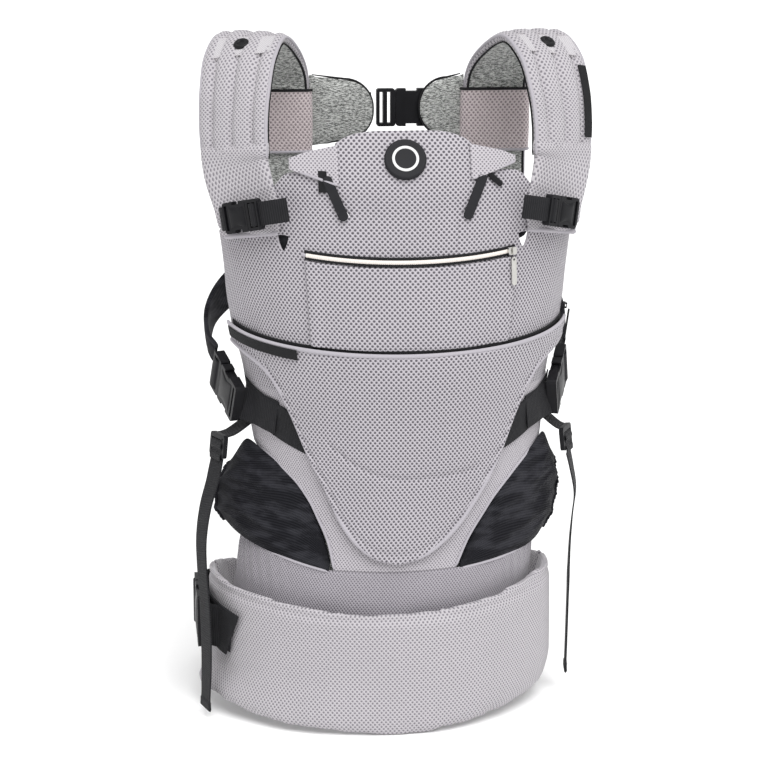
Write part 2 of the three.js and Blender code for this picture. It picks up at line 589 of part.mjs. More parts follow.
// Routes of the free webbing tails: down from the adjuster, clear of the belt.
const TAILS = {
  left: {
    points: [
      [-198, -32, 213.5], [-203, -38, 192], [-212, -47, 162], [-217, -56, 130], [-217, -63, 98],
      [-215, -67, 64], [-214, -68, 28], [-214, -68, -8], [-215, -67, -36], [-216, -66, -62],
    ],
    across: [0.4, 0.5, 0.62, 0.72, 0.78, 0.8, 0.8, 0.78, 0.76, 0.74].map((x) => [x, -0.6, 0]),
  },
  right: {
    points: [
      [189.5, -32, 213.5], [194, -31, 194], [199, -28, 166], [197, -26, 138], [195, -25, 108],
      [194, -25, 76], [193.5, -25, 42], [193, -25, 8], [192.5, -25, -22], [192, -25, -46],
    ],
    across: [0.35, 0.3, 0.25, 0.2, 0.15, 0.12, 0.12, 0.12, 0.12, 0.12].map((x) => [-x, -1, 0]),
  },
};

function addLegAdjusters() {
  for (const name of ['left', 'right']) {
    const { at, along, out } = LADDERS[name];
    add(`leg_adjuster_${name}`, placeAt(toGeometry(ladderSolid()), at, along, out), 'plastic');
    add(`leg_strap_tail_${name}`, strap({
      ...TAILS[name], width: THIN_WEB, thick: WEB_THICK, steps: 24, nu: 1,
    }), 'webbing');
  }
}

// ---- build ---------------------------------------------------------------------------
addBelt();
addBody();
addOverlay();
addPocket();
addOverlayPull();
addHeadrest();
addShoulderStraps();
addChestStrap();
addBuckles();
addWebbing();
addLegAdjusters();

export default carrier;
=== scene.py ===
"""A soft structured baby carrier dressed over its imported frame: spacer-mesh panels, padded straps,
heather linings, webbing, buckles and zips. Shapes are worked out in millimetres and made in metres."""

import math

import bmesh
import bpy
import numpy as np
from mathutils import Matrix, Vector


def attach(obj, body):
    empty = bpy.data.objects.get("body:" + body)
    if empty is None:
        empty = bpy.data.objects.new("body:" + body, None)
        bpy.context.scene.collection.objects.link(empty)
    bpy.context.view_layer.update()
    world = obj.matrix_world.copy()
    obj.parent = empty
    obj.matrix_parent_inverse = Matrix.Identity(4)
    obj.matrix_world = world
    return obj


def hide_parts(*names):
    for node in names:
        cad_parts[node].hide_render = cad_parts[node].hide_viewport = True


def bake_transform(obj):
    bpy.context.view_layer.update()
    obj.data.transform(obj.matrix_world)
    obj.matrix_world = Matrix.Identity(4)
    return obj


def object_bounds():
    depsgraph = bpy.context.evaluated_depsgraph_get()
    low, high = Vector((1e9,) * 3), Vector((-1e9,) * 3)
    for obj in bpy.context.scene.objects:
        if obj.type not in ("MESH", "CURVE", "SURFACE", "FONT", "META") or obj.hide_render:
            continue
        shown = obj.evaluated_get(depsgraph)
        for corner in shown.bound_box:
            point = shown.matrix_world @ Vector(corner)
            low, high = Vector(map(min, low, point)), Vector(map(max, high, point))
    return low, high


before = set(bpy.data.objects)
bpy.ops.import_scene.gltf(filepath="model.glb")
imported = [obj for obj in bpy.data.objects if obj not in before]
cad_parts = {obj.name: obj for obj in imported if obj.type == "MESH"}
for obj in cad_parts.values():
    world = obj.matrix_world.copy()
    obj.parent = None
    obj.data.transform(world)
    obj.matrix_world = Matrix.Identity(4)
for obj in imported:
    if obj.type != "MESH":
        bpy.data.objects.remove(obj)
frame_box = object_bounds()

# ---- driving dimensions, in millimetres as in the frame -------------------------------------------
MM = 0.001
BELT_HALF_WIDTH, BELT_FRONT_DEPTH, BELT_BACK_DEPTH = 191, 148, 130
BELT_SHIFT = -17
BELT_THICK = 14
BELT_FLARE = 22                             # the buckle side of the belt spreads at its foot
SHELL = 4                                   # thickness of the body panels
WEB_THICK = 1.6
WAIST_WEB, SIDE_WEB, THIN_WEB = 50, 38, 25
STRAP_THICK = 12
HEADREST_Z = 487                            # fold line of the head support
FLOOR_GAP = 1.5                             # between the floor and the belt's lowest edge
SIDES = ((-1, "left"), (1, "right"))


# ---- numbers and curves ---------------------------------------------------------------------------
def mix(a, b, share):
    return a + (b - a) * share


def step(low, high, x):
    """0 below low, 1 above high, smooth between them."""
    share = np.clip((x - low) / (high - low), 0, 1)
    return share * share * (3 - 2 * share)


def hump(x, middle, width):
    """A bell of height 1 and about that half width."""
    return np.exp(-(((x - middle) / width) ** 2))


def smooth(rows):
    """Smooth curve through a few (place, value) pairs."""
    places, values = (np.array(column, float) for column in zip(*rows))
    before = np.maximum(np.arange(len(rows)) - 1, 0)
    after = np.minimum(np.arange(len(rows)) + 1, len(rows) - 1)
    slopes = (values[after] - values[before]) / (places[after] - places[before])

    def at(place):
        place = np.clip(place, places[0], places[-1])
        i = np.clip(np.searchsorted(places, place, side="right") - 1, 0, len(rows) - 2)
        gap = places[i + 1] - places[i]
        s = (place - places[i]) / gap
        return (
            (1 + 2 * s) * (1 - s) ** 2 * values[i]
            + s * (1 - s) ** 2 * gap * slopes[i]
            + s * s * (3 - 2 * s) * values[i + 1]
            + s * s * (s - 1) * gap * slopes[i + 1]
        )

    return at


def ripple(x, y, size, seed):
    """Smooth noise from -1 to 1 over x and y, in lumps of about that size."""
    grid = np.random.default_rng(seed).uniform(-1, 1, (64, 64))
    x, y = np.asarray(x, float) / size, np.asarray(y, float) / size
    i, j = np.floor(x).astype(int), np.floor(y).astype(int)
    s, t = step(0, 1, x - i), step(0, 1, y - j)
    low = mix(grid[i % 64, j % 64], grid[(i + 1) % 64, j % 64], s)
    high = mix(grid[i % 64, (j + 1) % 64], grid[(i + 1) % 64, (j + 1) % 64], s)
    return mix(low, high, t)


def unit(v):
    return v / np.linalg.norm(v, axis=-1, keepdims=True)


def curve(points):
    """Centripetal Catmull-Rom curve through points, as a function of a share from 0 to 1."""
    points = np.array(points, float)
    line = np.vstack([2 * points[0] - points[1], points, 2 * points[-1] - points[-2]])
    last = len(points) - 1

    def at(share):
        place = min(max(share, 0), 1) * last
        i = min(int(place), last - 1)
        s = place - i
        p = line[i : i + 4]
        gaps = np.sqrt(np.linalg.norm(np.diff(p, axis=0), axis=1))
        middle = gaps[1] if gaps[1] > 1e-4 else 1.0
        first = gaps[0] if gaps[0] > 1e-4 else middle
        third = gaps[2] if gaps[2] > 1e-4 else middle
        leave = (p[1] - p[0]) / first - (p[2] - p[0]) / (first + middle) + (p[2] - p[1]) / middle
        reach = (p[2] - p[1]) / middle - (p[3] - p[1]) / (middle + third) + (p[3] - p[2]) / third
        a, b = leave * middle, reach * middle
        return (
            p[1] + a * s + (3 * (p[2] - p[1]) - 2 * a - b) * s**2 + (2 * (p[1] - p[2]) + a + b) * s**3
        )

    return at


def arc_length(points):
    return float(np.linalg.norm(np.diff(np.array(points), axis=0), axis=1).sum())


# ---- surfaces of the object -----------------------------------------------------------------------
BODY_RADIUS, BELT_RADIUS = 172, 185         # turn angles into lengths of cloth
body_half_width = smooth([
    (30, 166), (165, 164), (235, 161), (310, 169), (360, 180), (440, 190), (500, 198), (600, 200),
])
body_depth = smooth([
    (30, 127), (160, 124), (260, 130), (340, 136), (440, 125), (486, 119), (530, 110), (575, 86),
])
body_shift = smooth([(60, BELT_SHIFT), (200, 0)])


def body_point(theta, z, out):
    """Point of the body at angle theta (0 is the front middle), height z and distance out."""
    a = np.radians(theta)
    x = body_shift(z) + (body_half_width(z) + out) * np.sin(a)
    y = -(body_depth(z) + out) * np.cos(a)
    return np.stack(np.broadcast_arrays(x, y, z), axis=-1)


def belt_point(theta, z, out):
    a = np.radians(theta)
    depth = np.where(np.cos(a) > 0, BELT_FRONT_DEPTH, BELT_BACK_DEPTH)
    flare = np.where(a < 0, BELT_FLARE * (1 - step(-65, -5, z)), 0)
    x = BELT_SHIFT + (BELT_HALF_WIDTH + flare + out) * np.sin(a)
    return np.stack(np.broadcast_arrays(x, -(depth + out) * np.cos(a), z), axis=-1)


def belt_top(theta):
    side = np.sin(np.radians(np.minimum(np.abs(theta), 90))) ** 2
    return 66 + 13 * side - 0.45 * np.maximum(np.abs(theta) - 95, 0)


def belt_bottom(theta):
    side = np.sin(np.radians(np.minimum(np.abs(theta), 90))) ** 2
    return -69 + 20 * side + 0.45 * np.maximum(np.abs(theta) - 95, 0)


def band_top(theta):
    """The seat band rises more towards the buckle side."""
    return 107 + np.where(theta < 0, 27, 9) * np.maximum((np.abs(theta) - 25) / 59, 0)


# Edges of the panels: an angle at each height, or a height at each angle.
gusset_inner = smooth([
    (108, 24), (139, 28), (162, 33), (184, 39), (206, 49), (222, 62), (234, 77), (300, 84),
])
gusset_top = smooth([
    (26, 112), (30, 139), (35, 162), (41, 184), (51, 206), (64, 222), (76, 231), (82, 222), (88, 202),
])
headrest_edge = smooth([(HEADREST_Z, 17), (530, 23), (575, 21)])
corner_top = smooth([
    (17.5, 488), (22, 522), (25, 532), (38, 532), (43, 519), (48, 502), (54, 490), (66, 477), (84, 462),
])
overlay_bottom = smooth([
    (0, 117), (10, 126), (20, 152), (30, 196), (38, 234), (46, 284), (54, 317), (66, 334), (82, 345),
])


def overlay_top(theta):
    return 345 + 19 * (theta / 82) ** 2


def zip_height(theta):
    return 443 + 7 * (theta / 35) ** 2


ZIP_LEFT, ZIP_RIGHT = -33, 37

# Lines of the shoulder straps, webbing and tails, for the right side where there are two.
STRAP_BACK_X, STRAP_BACK_Y = 122, 98
STRAP_LINE = (
    [(174, -50, 541), (175, -43, 577), (173, -33, 608), (166, -8, 645), (152, 30, 664), (134, 70, 647),
     (123, 93, 617), (122, 98, 583), (122, 98, 540), (122, 98, 500), (122, 98, 465), (122, 98, 440)],
    [(0.78, 0.62, 0), (0.8, 0.6, 0), (0.82, 0.57, 0), (0.84, 0.54, 0), (0.87, 0.5, 0), (0.93, 0.35, 0),
     (0.99, 0.1, 0)] + [(1, 0, 0)] * 5,
)
YOKE_LINE = (
    [(174.3, -47, 558), (173.8, -51, 536), (166, -64, 503), (161, -73, 480), (160, -75, 466)],
    [(0.78, 0.62, 0), (0.78, 0.62, 0), (0.78, 0.62, 0.1), (0.8, 0.6, 0.25), (0.8, 0.6, 0.25)],
)
TAIL_LINES = {
    "left": (
        [(-198, -32, 213.5), (-203, -38, 192), (-212, -47, 162), (-217, -56, 130), (-217, -63, 98),
         (-215, -67, 64), (-214, -68, 28), (-214, -68, -8), (-215, -67, -36), (-216, -66, -62)],
        [(x, -0.9, 0) for x in (0.5, 0.5, 0.45, 0.4, 0.38, 0.4, 0.42, 0.4, 0.36, 0.36)],
    ),
    "right": (
        [(189.5, -32, 213.5), (194, -31, 194), (199, -28, 166), (197, -26, 138), (195, -25, 108),
         (194, -25, 76), (193.5, -25, 42), (193, -25, 8), (192.5, -25, -22), (192, -25, -46)],
        [(-x, -1, 0) for x in (0.35, 0.3, 0.25, 0.2, 0.15, 0.12, 0.12, 0.12, 0.12, 0.12)],
    ),
}


def strap_end_line(side):
    """The buckle side's strap end stands further out than the other one."""
    bow = 7 if side < 0 else -7
    points = [(122, 98, 439), (122, 98, 424), (140, 96, 400), (172 + bow / 2, 80, 378), (193 + bow, 54, 354),
              (197 + bow, 36, 328), (194 + bow / 2, 26, 314)]
    across = [(1, 0, 0), (1, 0, 0), (0.9, -0.4, 0.2), (0.6, -0.6, 0.5), (0.2, -0.7, 0.7), (0.05, -0.7, 0.7),
              (0, -0.6, 0.8)]
    return points, across


def mirrored(side, line):
    """A line written for the right side, on the wanted side."""
    points, across = line
    if side > 0:
        return line
    return [(-x, y, z) for x, y, z in points], [(x, -y, -z) for x, y, z in across]


def strap_frame(line):
    """Where a strap runs at share v of its line: its middle, width direction, course and outward normal."""
    middle, width_way = curve(line[0]), curve(line[1])

    def at(v):
        along = unit(middle(min(v + 1e-3, 1)) - middle(max(v - 1e-3, 0)))
        side = width_way(v)
        side = unit(side - along * (side @ along))
        return middle(v), side, along, np.cross(side, along)

    return at


# ---- materials ------------------------------------------------------------------------------------
class Shader:
    """A Principled material whose nodes are joined by short calls."""

    def __init__(self, name, roughness=0.85, sheen=0.0, specular=0.3, metallic=0.0):
        self.material = bpy.data.materials.new(name)
        self.material.use_nodes = True
        self.tree = self.material.node_tree
        self.surface = self.tree.nodes["Principled BSDF"]
        uniform = {"Roughness": roughness, "Sheen Weight": sheen, "Sheen Roughness": 0.5,
                   "Specular IOR Level": specular, "Metallic": metallic}
        for socket, value in uniform.items():
            self.surface.inputs[socket].default_value = value
        self.places = self.tree.nodes.new("ShaderNodeTexCoord")

    def node(self, kind, values, **settings):
        node = self.tree.nodes.new(kind)
        for key, value in settings.items():
            setattr(node, key, value)
        for socket, value in values.items():
            if isinstance(value, bpy.types.NodeSocket):
                self.tree.links.new(value, node.inputs[socket])
            else:
                node.inputs[socket].default_value = value
        return node

    def math(self, operation, *values):
        return self.node("ShaderNodeMath", dict(enumerate(values)), operation=operation).outputs[0]

    def rise(self, value, low, high):
        """0 below low, 1 above high."""
        values = {0: value, 1: low, 2: high}
        return self.node("ShaderNodeMapRange", values, interpolation_type="SMOOTHSTEP").outputs[0]

    def noise(self, size, stretch=(1, 1, 1), detail=2.0):
        """Noise whose lumps are about size millimetres, on the object's own coordinates."""
        scaled = self.node("ShaderNodeMapping", {"Vector": self.places.outputs["Object"], "Scale": stretch})
        values = {"Vector": scaled.outputs[0], "Scale": 1 / (size * MM), "Detail": detail}
        return self.node("ShaderNodeTexNoise", values).outputs["Fac"]

    def cloth(self):
        """Places across and along the cloth, in millimetres."""
        parts = self.node("ShaderNodeSeparateXYZ", {0: self.places.outputs["UV"]})
        return [self.math("DIVIDE", parts.outputs[i], MM) for i in (0, 1)]

    def wave(self, value, period):
        """A smooth wave of that period, from 0 to 1."""
        turned = self.math("SINE", self.math("MULTIPLY", value, 2 * math.pi / period))
        return self.math("MULTIPLY_ADD", turned, 0.5, 0.5)

    def tint(self, share, low, high):
        """A colour between two, each given as a colour or as another node's output."""
        low, high = (c if hasattr(c, "links") else (*c, 1) for c in (low, high))
        return self.node("ShaderNodeMix", {0: share, 6: low, 7: high}, data_type="RGBA").outputs[2]

    def finish(self, colour, height=None, depth=0.5, roughness=None):
        """Colour, a relief of that depth in millimetres, and roughness where it changes over the surface."""
        self.tree.links.new(colour, self.surface.inputs["Base Color"])
        if height is not None:
            bump = self.node("ShaderNodeBump", {"Height": height, "Distance": depth * MM, "Strength": 1.0})
            self.tree.links.new(bump.outputs[0], self.surface.inputs["Normal"])
        if roughness is not None:
            self.tree.links.new(roughness, self.surface.inputs["Roughness"])
        return self.material


def spacer_mesh(name, thread, hollow, across=5.0, up=5.8, hole=1.35, depth=0.8):
    """Knitted spacer fabric: a diamond lattice of round holes between plump strands."""
    s = Shader(name, roughness=0.82, sheen=0.25, specular=0.25)
    u, v = s.cloth()
    u, v = s.math("DIVIDE", u, across), s.math("DIVIDE", v, up)
    a = s.math("SUBTRACT", s.math("FRACT", s.math("ADD", u, v)), 0.5)
    b = s.math("SUBTRACT", s.math("FRACT", s.math("SUBTRACT", u, v)), 0.5)
    du = s.math("MULTIPLY", s.math("ADD", a, b), across / 2)
    dv = s.math("MULTIPLY", s.math("SUBTRACT", a, b), up / 2)
    far = s.math("SQRT", s.math("ADD", s.math("MULTIPLY", du, du), s.math("MULTIPLY", dv, dv)))
    solid = s.rise(far, hole * 0.6, hole * 1.35)
    fibre = s.noise(0.5)
    mottle = s.math("MULTIPLY_ADD", fibre, 0.5, s.math("MULTIPLY", s.noise(60), 0.5))
    lit = s.tint(mottle, [c * 0.9 for c in thread], [c * 1.06 for c in thread])
    colour = s.tint(solid, hollow, lit)
    height = s.math("MULTIPLY_ADD", fibre, 0.16, s.rise(far, hole * 0.5, hole * 2.2))
    return s.finish(colour, height, depth)


def heather_knit(name, dark, light):
    """Marled jersey: short light and dark flecks along the rows."""
    s = Shader(name, roughness=0.9, sheen=0.3, specular=0.2)
    flecks = s.noise(1.3, stretch=(0.33, 0.33, 1.4), detail=3.0)
    fine = s.noise(0.6, stretch=(0.5, 0.5, 1.5))
    share = s.rise(s.math("MULTIPLY_ADD", fine, 0.4, s.math("MULTIPLY", flecks, 0.6)), 0.40, 0.62)
    return s.finish(s.tint(share, dark, light), share, 0.25)


def webbing_weave(name, dark, light, rib=2.4):
    """Woven strap: ribs across it, with a fine chevron."""
    s = Shader(name, roughness=0.62, sheen=0.03, specular=0.12)
    u, v = s.cloth()
    ribs = s.wave(v, rib)
    cords = s.wave(s.math("ADD", u, s.math("MULTIPLY", v, 0.5)), 1.1)
    weave = s.math("MULTIPLY_ADD", ribs, 0.6, s.math("MULTIPLY", cords, 0.4))
    share = s.math("MULTIPLY_ADD", weave, 0.7, s.math("MULTIPLY", s.noise(9), 0.3))
    return s.finish(s.tint(share, dark, light), weave, 0.5)


def ribbed_cloth(name, dark, light, rib=1.7):
    """Fine ribbed stretch cloth, its ribs running across, with lighter streaks painted on as highlights of
    creases.
    """
    s = Shader(name, roughness=0.7, sheen=0.03, specular=0.09)
    _, v = s.cloth()
    ribs = s.wave(v, rib)
    # The crease streaks are painted highlights: lighter colour where folds would catch the light.
    creases = s.rise(s.noise(16, stretch=(0.5, 0.5, 1.6), detail=3.0), 0.42, 0.66)
    share = s.math("MULTIPLY_ADD", ribs, 0.35, s.math("MULTIPLY", creases, 0.65))
    return s.finish(s.tint(share, dark, light), ribs, 0.35)


def moulded(name, dark, light, roughness=0.42, grain=0.35):
    """Moulded plastic or rubber: a fine grain, with dull rubbed patches."""
    s = Shader(name, roughness=roughness, specular=0.16)
    fine, patches = s.noise(grain, detail=3.0), s.noise(12, detail=3.0)
    rough = s.math("MULTIPLY_ADD", patches, 0.22, roughness - 0.1)
    return s.finish(s.tint(patches, dark, light), fine, 0.03, rough)


def brushed_metal(name, dark, light):
    s = Shader(name, roughness=0.28, metallic=1.0)
    scratches = s.noise(0.8, stretch=(1, 1, 0.08), detail=4.0)
    rough = s.math("MULTIPLY_ADD", scratches, 0.2, 0.2)
    return s.finish(s.tint(scratches, dark, light), scratches, 0.02, rough)


def thread(name, colour):
    """Twisted sewing thread."""
    s = Shader(name, roughness=0.7, sheen=0.2)
    twist = s.noise(0.35)
    return s.finish(s.tint(twist, [c * 0.75 for c in colour], [c * 1.1 for c in colour]), twist, 0.08)


def studio_floor():
    s = Shader("studio_floor", roughness=1.0, specular=0.0)
    return s.finish(s.tint(s.noise(900), (0.955, 0.955, 0.955), (0.975, 0.975, 0.975)))


STRAP_LATTICE = {"across": 4.6, "up": 5.4, "hole": 1.1, "depth": 0.6}
FINE_LATTICE = {"across": 3.9, "up": 4.4, "hole": 0.9, "depth": 0.5}
PATCH_LATTICE = {"across": 2.6, "up": 2.6, "hole": 0.5, "depth": 0.3}
MESH = spacer_mesh("mesh_front", (0.50, 0.475, 0.51), (0.085, 0.078, 0.092))
MESH_FINE = spacer_mesh("mesh_fine", (0.49, 0.465, 0.495), (0.17, 0.16, 0.18), **FINE_LATTICE)
MESH_STRAP = spacer_mesh("mesh_strap", (0.485, 0.462, 0.488), (0.18, 0.17, 0.19), **STRAP_LATTICE)
# Seat band: the fine mesh with darker thread and holes, painted shade for the band's downward-tilted face that
# lies in shadow.
MESH_BAND_PAINTED_SHADE = spacer_mesh("mesh_band_painted_shade", (0.36, 0.34, 0.37), (0.13, 0.12, 0.14), **FINE_LATTICE)
PATCH = spacer_mesh("mesh_patch", (0.55, 0.53, 0.55), (0.34, 0.33, 0.35), **PATCH_LATTICE)
# Sleeve mesh, lighter than the other mesh: partly its own paler tone, partly painted light that lifts the shade
# the sleeves lie in behind the head support.
MESH_SLEEVE_PAINTED_LIGHT = spacer_mesh("mesh_sleeve_painted_light", (0.62, 0.54, 0.55), (0.24, 0.20, 0.21), hole=1.2)
# Edging cord: the mesh's own pale tone, darkened below it as painted shade to offset the key light on its upward
# faces.
EDGING_PAINTED_SHADE = thread("edging_painted_shade", (0.41, 0.39, 0.425))
HEATHER = heather_knit("heather", (0.08, 0.085, 0.08), (0.64, 0.65, 0.63))
WEBBING = webbing_weave("webbing", (0.003, 0.003, 0.004), (0.028, 0.028, 0.031))
RIBBED = ribbed_cloth("ribbed_black", (0.004, 0.004, 0.006), (0.030, 0.030, 0.036))
BINDING = webbing_weave("binding_black", (0.007, 0.007, 0.008), (0.022, 0.022, 0.024), rib=1.0)
PLASTIC = moulded("plastic_black", (0.006, 0.006, 0.007), (0.012, 0.012, 0.014))
RUBBER = moulded("rubber_grey", (0.012, 0.012, 0.014), (0.022, 0.022, 0.025), roughness=0.6, grain=0.6)
ZIP_WHITE = thread("zip_coil", (0.82, 0.76, 0.71))
METAL = brushed_metal("metal", (0.45, 0.44, 0.42), (0.72, 0.71, 0.68))
LIGHT_THREAD = thread("thread_light", (0.62, 0.59, 0.61))
DARK_THREAD = thread("thread_dark", (0.02, 0.02, 0.022))
PRINT_WHITE = moulded("badge_ring", (0.62, 0.62, 0.62), (0.74, 0.74, 0.74), roughness=0.5)
MATERIALS = {
    "mesh": (MESH, MESH_FINE, MESH_STRAP, MESH_BAND_PAINTED_SHADE, MESH_SLEEVE_PAINTED_LIGHT, PATCH, EDGING_PAINTED_SHADE, LIGHT_THREAD),
    "heather": (HEATHER,),
    "webbing": (WEBBING, DARK_THREAD),
    "black_fabric": (RIBBED,),
    "binding": (BINDING,),
    "plastic": (PLASTIC,),
    "rubber": (RUBBER,),
    "zip": (ZIP_WHITE, PRINT_WHITE),
    "metal": (METAL,),
}
SLOT_OF = {material.name: slot for slot, materials in MATERIALS.items() for material in materials}


# ---- mesh making ----------------------------------------------------------------------------------
def make(name, points, faces, material, body="carrier", cloth=None, replaces=()):
    """A mesh piece from points in millimetres, with cloth coordinates if it is woven, riding on a body.
    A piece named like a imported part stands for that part."""
    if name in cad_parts:
        replaces = [name]
        name += "_cover"
    mesh = bpy.data.meshes.new(name)
    mesh.from_pydata([tuple(p) for p in np.asarray(points, float).reshape(-1, 3) * MM], [], faces)
    if cloth is not None:
        corners = np.zeros(len(mesh.loops), int)
        mesh.loops.foreach_get("vertex_index", corners)
        flat = np.asarray(cloth, float).reshape(-1, 2) * MM
        mesh.uv_layers.new(name="cloth").data.foreach_set("uv", flat[corners].ravel())
    obj = bpy.data.objects.new(name, mesh)
    bpy.context.scene.collection.objects.link(obj)
    return dress(obj, material, body, replaces)


def dress(obj, material, body="carrier", replaces=()):
    """Tidies a piece's mesh, gives it its material and shading, and lets it ride on its body.
    The body is None for a piece that spans two bodies; it then rides on neither."""
    mesh = obj.data
    work = bmesh.new()
    work.from_mesh(mesh)
    bmesh.ops.remove_doubles(work, verts=work.verts, dist=2e-5)
    bmesh.ops.dissolve_degenerate(work, edges=work.edges, dist=1e-6)
    bmesh.ops.recalc_face_normals(work, faces=work.faces)
    work.to_mesh(mesh)
    work.free()
    mesh.shade_smooth()
    mesh.set_sharp_from_angle(angle=math.radians(50))
    mesh.materials.clear()
    mesh.materials.append(material)
    if body is not None:
        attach(obj, body)
    if replaces:
        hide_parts(*replaces)
    return obj


def shares(length, spacing, rim):
    """Shares along a length, spacing apart, and closer by both ends where a rim of that size is rounded."""
    inner = np.linspace(rim, length - rim, max(round((length - 2 * rim) / spacing), 1) + 1)
    edge = rim * np.array([0, 0.1, 0.4])
    return np.concatenate([edge, inner, (length - edge)[::-1]]) / length


def rounding(share, length, rim):
    """Half-round profile of an edge: 0 at both ends of a length, 1 from a rim's distance on."""
    near = np.clip(np.minimum(share, 1 - share) * length / rim, 0, 1)
    return np.sqrt(1 - (1 - near) ** 2)


def grid_faces(columns, rows, start, flip=False):
    """Faces of a grid whose points run along rows first."""
    faces = []
    for i in range(columns - 1):
        for j in range(rows - 1):
            k = start + i * rows + j
            face = (k, k + rows, k + rows + 1, k + 1)
            faces.append(face[::-1] if flip else face)
    return faces


def closed_layer(front, back):
    """Points and faces of a layer between two grids of points, with its rim closed."""
    n, m = front.shape[:2]
    faces = grid_faces(n, m, 0) + grid_faces(n, m, n * m, flip=True)
    ring = [i * m for i in range(n)] + [(n - 1) * m + j for j in range(1, m)]
    ring += [i * m + m - 1 for i in range(n - 2, -1, -1)] + list(range(m - 2, 0, -1))
    faces += [(a, a + n * m, b + n * m, b) for a, b in zip(ring, ring[1:] + ring[:1])]
    return np.concatenate([front.reshape(-1, 3), back.reshape(-1, 3)]), faces


def shell(name, place, size, thick, material, cloth, body="carrier", spacing=3.0, replaces=()):
    """A closed layer of cloth with rounded rims. place(u, v, lift) gives points, lift being the distance from
    its middle surface; size is about its width and height."""
    width, height = size
    rim = thick / 2
    u, v = np.meshgrid(shares(width, spacing, rim), shares(height, spacing, rim), indexing="ij")
    half = thick / 2 * rounding(u, width, rim) * rounding(v, height, rim)
    points, faces = closed_layer(place(u, v, half), place(u, v, -half))
    flat = np.stack(np.broadcast_arrays(*cloth(u, v)), axis=-1).reshape(-1, 2)
    return make(name, points, faces, material, body, np.concatenate([flat, flat]), replaces)


def varying(value):
    """A function of one place, from a function or from a number that holds everywhere."""
    return value if callable(value) else lambda place: np.full(np.shape(place), float(value))


def ribbon(name, line, width, thick, material, body="carrier", spacing=3.0, relief=None, cover=(0, 1),
           offset=0.0, shift=0.0, replaces=()):
    """A strap along its line. width and thick are numbers or functions of the share along it; relief(x, v)
    adds height to its outer face at x millimetres from its middle; offset moves it along its outward normal
    and shift along its width."""
    at = strap_frame(line)
    length = arc_length([at(v)[0] for v in np.linspace(*cover, 60)])
    width_at, thick_at = varying(width), varying(thick)
    widest, thickest = (float(np.max(at_share(np.array(cover)))) for at_share in (width_at, thick_at))

    def place(u, v, half):
        share = mix(cover[0], cover[1], v)
        x = (u - 0.5) * width_at(share)
        frames = [at(s) for s in share[0]]
        middle, side, _, out = (np.array([f[k] for f in frames]) for k in range(4))
        lift = half / thickest * thick_at(share) + offset
        if relief is not None:
            lift = lift + np.where(half > 0, relief(x, share), 0)
        return middle + side * (x + shift)[..., None] + out * lift[..., None]

    def cloth(u, v):
        return (u - 0.5) * width_at(mix(cover[0], cover[1], v)), v * length

    return shell(name, place, (widest, length), thickest, material, cloth, body, spacing, replaces=replaces)


def run_along(points):
    """Distance from the first point to each point, along the line."""
    return np.concatenate([[0], np.cumsum(np.linalg.norm(np.diff(points, axis=0), axis=1))])


def ring_faces(rings, sides, start=0):
    """Faces between rings of points that follow each other."""
    faces = []
    for i in range(rings - 1):
        for j in range(sides):
            k = (j + 1) % sides
            first = start + i * sides
            faces.append((first + j, first + k, first + sides + k, first + sides + j))
    return faces


def cap_faces(rings, sides, start=0):
    """Faces that close the first and the last ring."""
    last = start + (rings - 1) * sides
    return [tuple(range(start, start + sides)), tuple(range(last, last + sides))]


def cordage(name, points, radius, material, body="carrier", sides=8, squeeze=1.0, normals=None):
    """A round or flattened piping along points, closed at both ends."""
    points = np.array(points, float)
    along = unit(np.gradient(points, axis=0))
    if normals is None:
        normals = np.tile([0.0, 0.0, 1.0], (len(points), 1))
        normals[np.abs(along[:, 2]) > 0.9] = (0.0, -1.0, 0.0)
    normals = unit(normals - along * (normals * along).sum(1, keepdims=True))
    across = np.cross(along, normals)
    angles = np.linspace(0, 2 * math.pi, sides, endpoint=False)
    scale = np.ones(len(points))
    scale[[0, -1]] = 0.45
    rings = [
        p + r * radius * (math.cos(a) * c + math.sin(a) * squeeze * n)
        for p, n, c, r in zip(points, normals, across, scale)
        for a in angles
    ]
    faces = ring_faces(len(points), sides) + cap_faces(len(points), sides)
    flat = [(a * radius, d) for d in run_along(points) for a in angles]
    return make(name, rings, faces, material, body, flat)


def between(place, run, rows):
    """The row of values at a place along a run."""
    return np.array([np.interp(place, run, rows[:, k]) for k in range(rows.shape[1])])


def stitches(name, points, normals, material, length=2.6, gap=1.5, radius=0.32):
    """A row of sewing stitches lying on the surface along points, each a small rounded dash."""
    points, normals = np.array(points, float), unit(np.array(normals, float))
    run = run_along(points)
    verts, faces = [], []
    for start in np.arange(gap / 2, run[-1] - length, length + gap):
        places = [between(start + length * share, run, points) for share in (0, 0.5, 1)]
        normal = between(start, run, normals)
        across = unit(np.cross(unit(places[2] - places[0]), normal))
        first = len(verts)
        for middle, swell in zip(places, (0.45, 1.0, 0.45)):
            for turn in (0, 90, 180, 270):
                a = math.radians(turn)
                verts.append(middle + radius * swell * (math.cos(a) * across + (math.sin(a) + 0.2) * normal))
        faces += ring_faces(3, 4, first) + cap_faces(3, 4, first)
    return make(name, verts, faces, material)


def on_body(thetas, heights, out, surface=body_point):
    """Points on the body along angles and heights, and their outward normals."""
    points = surface(np.asarray(thetas, float), np.asarray(heights, float), out)
    return points, unit(surface(np.asarray(thetas, float), np.asarray(heights, float), out + 5) - points)


def body_cloth(theta, z):
    """Cloth coordinates that all body panels share, so that the lattice matches where they meet."""
    return np.radians(theta) * BODY_RADIUS, z


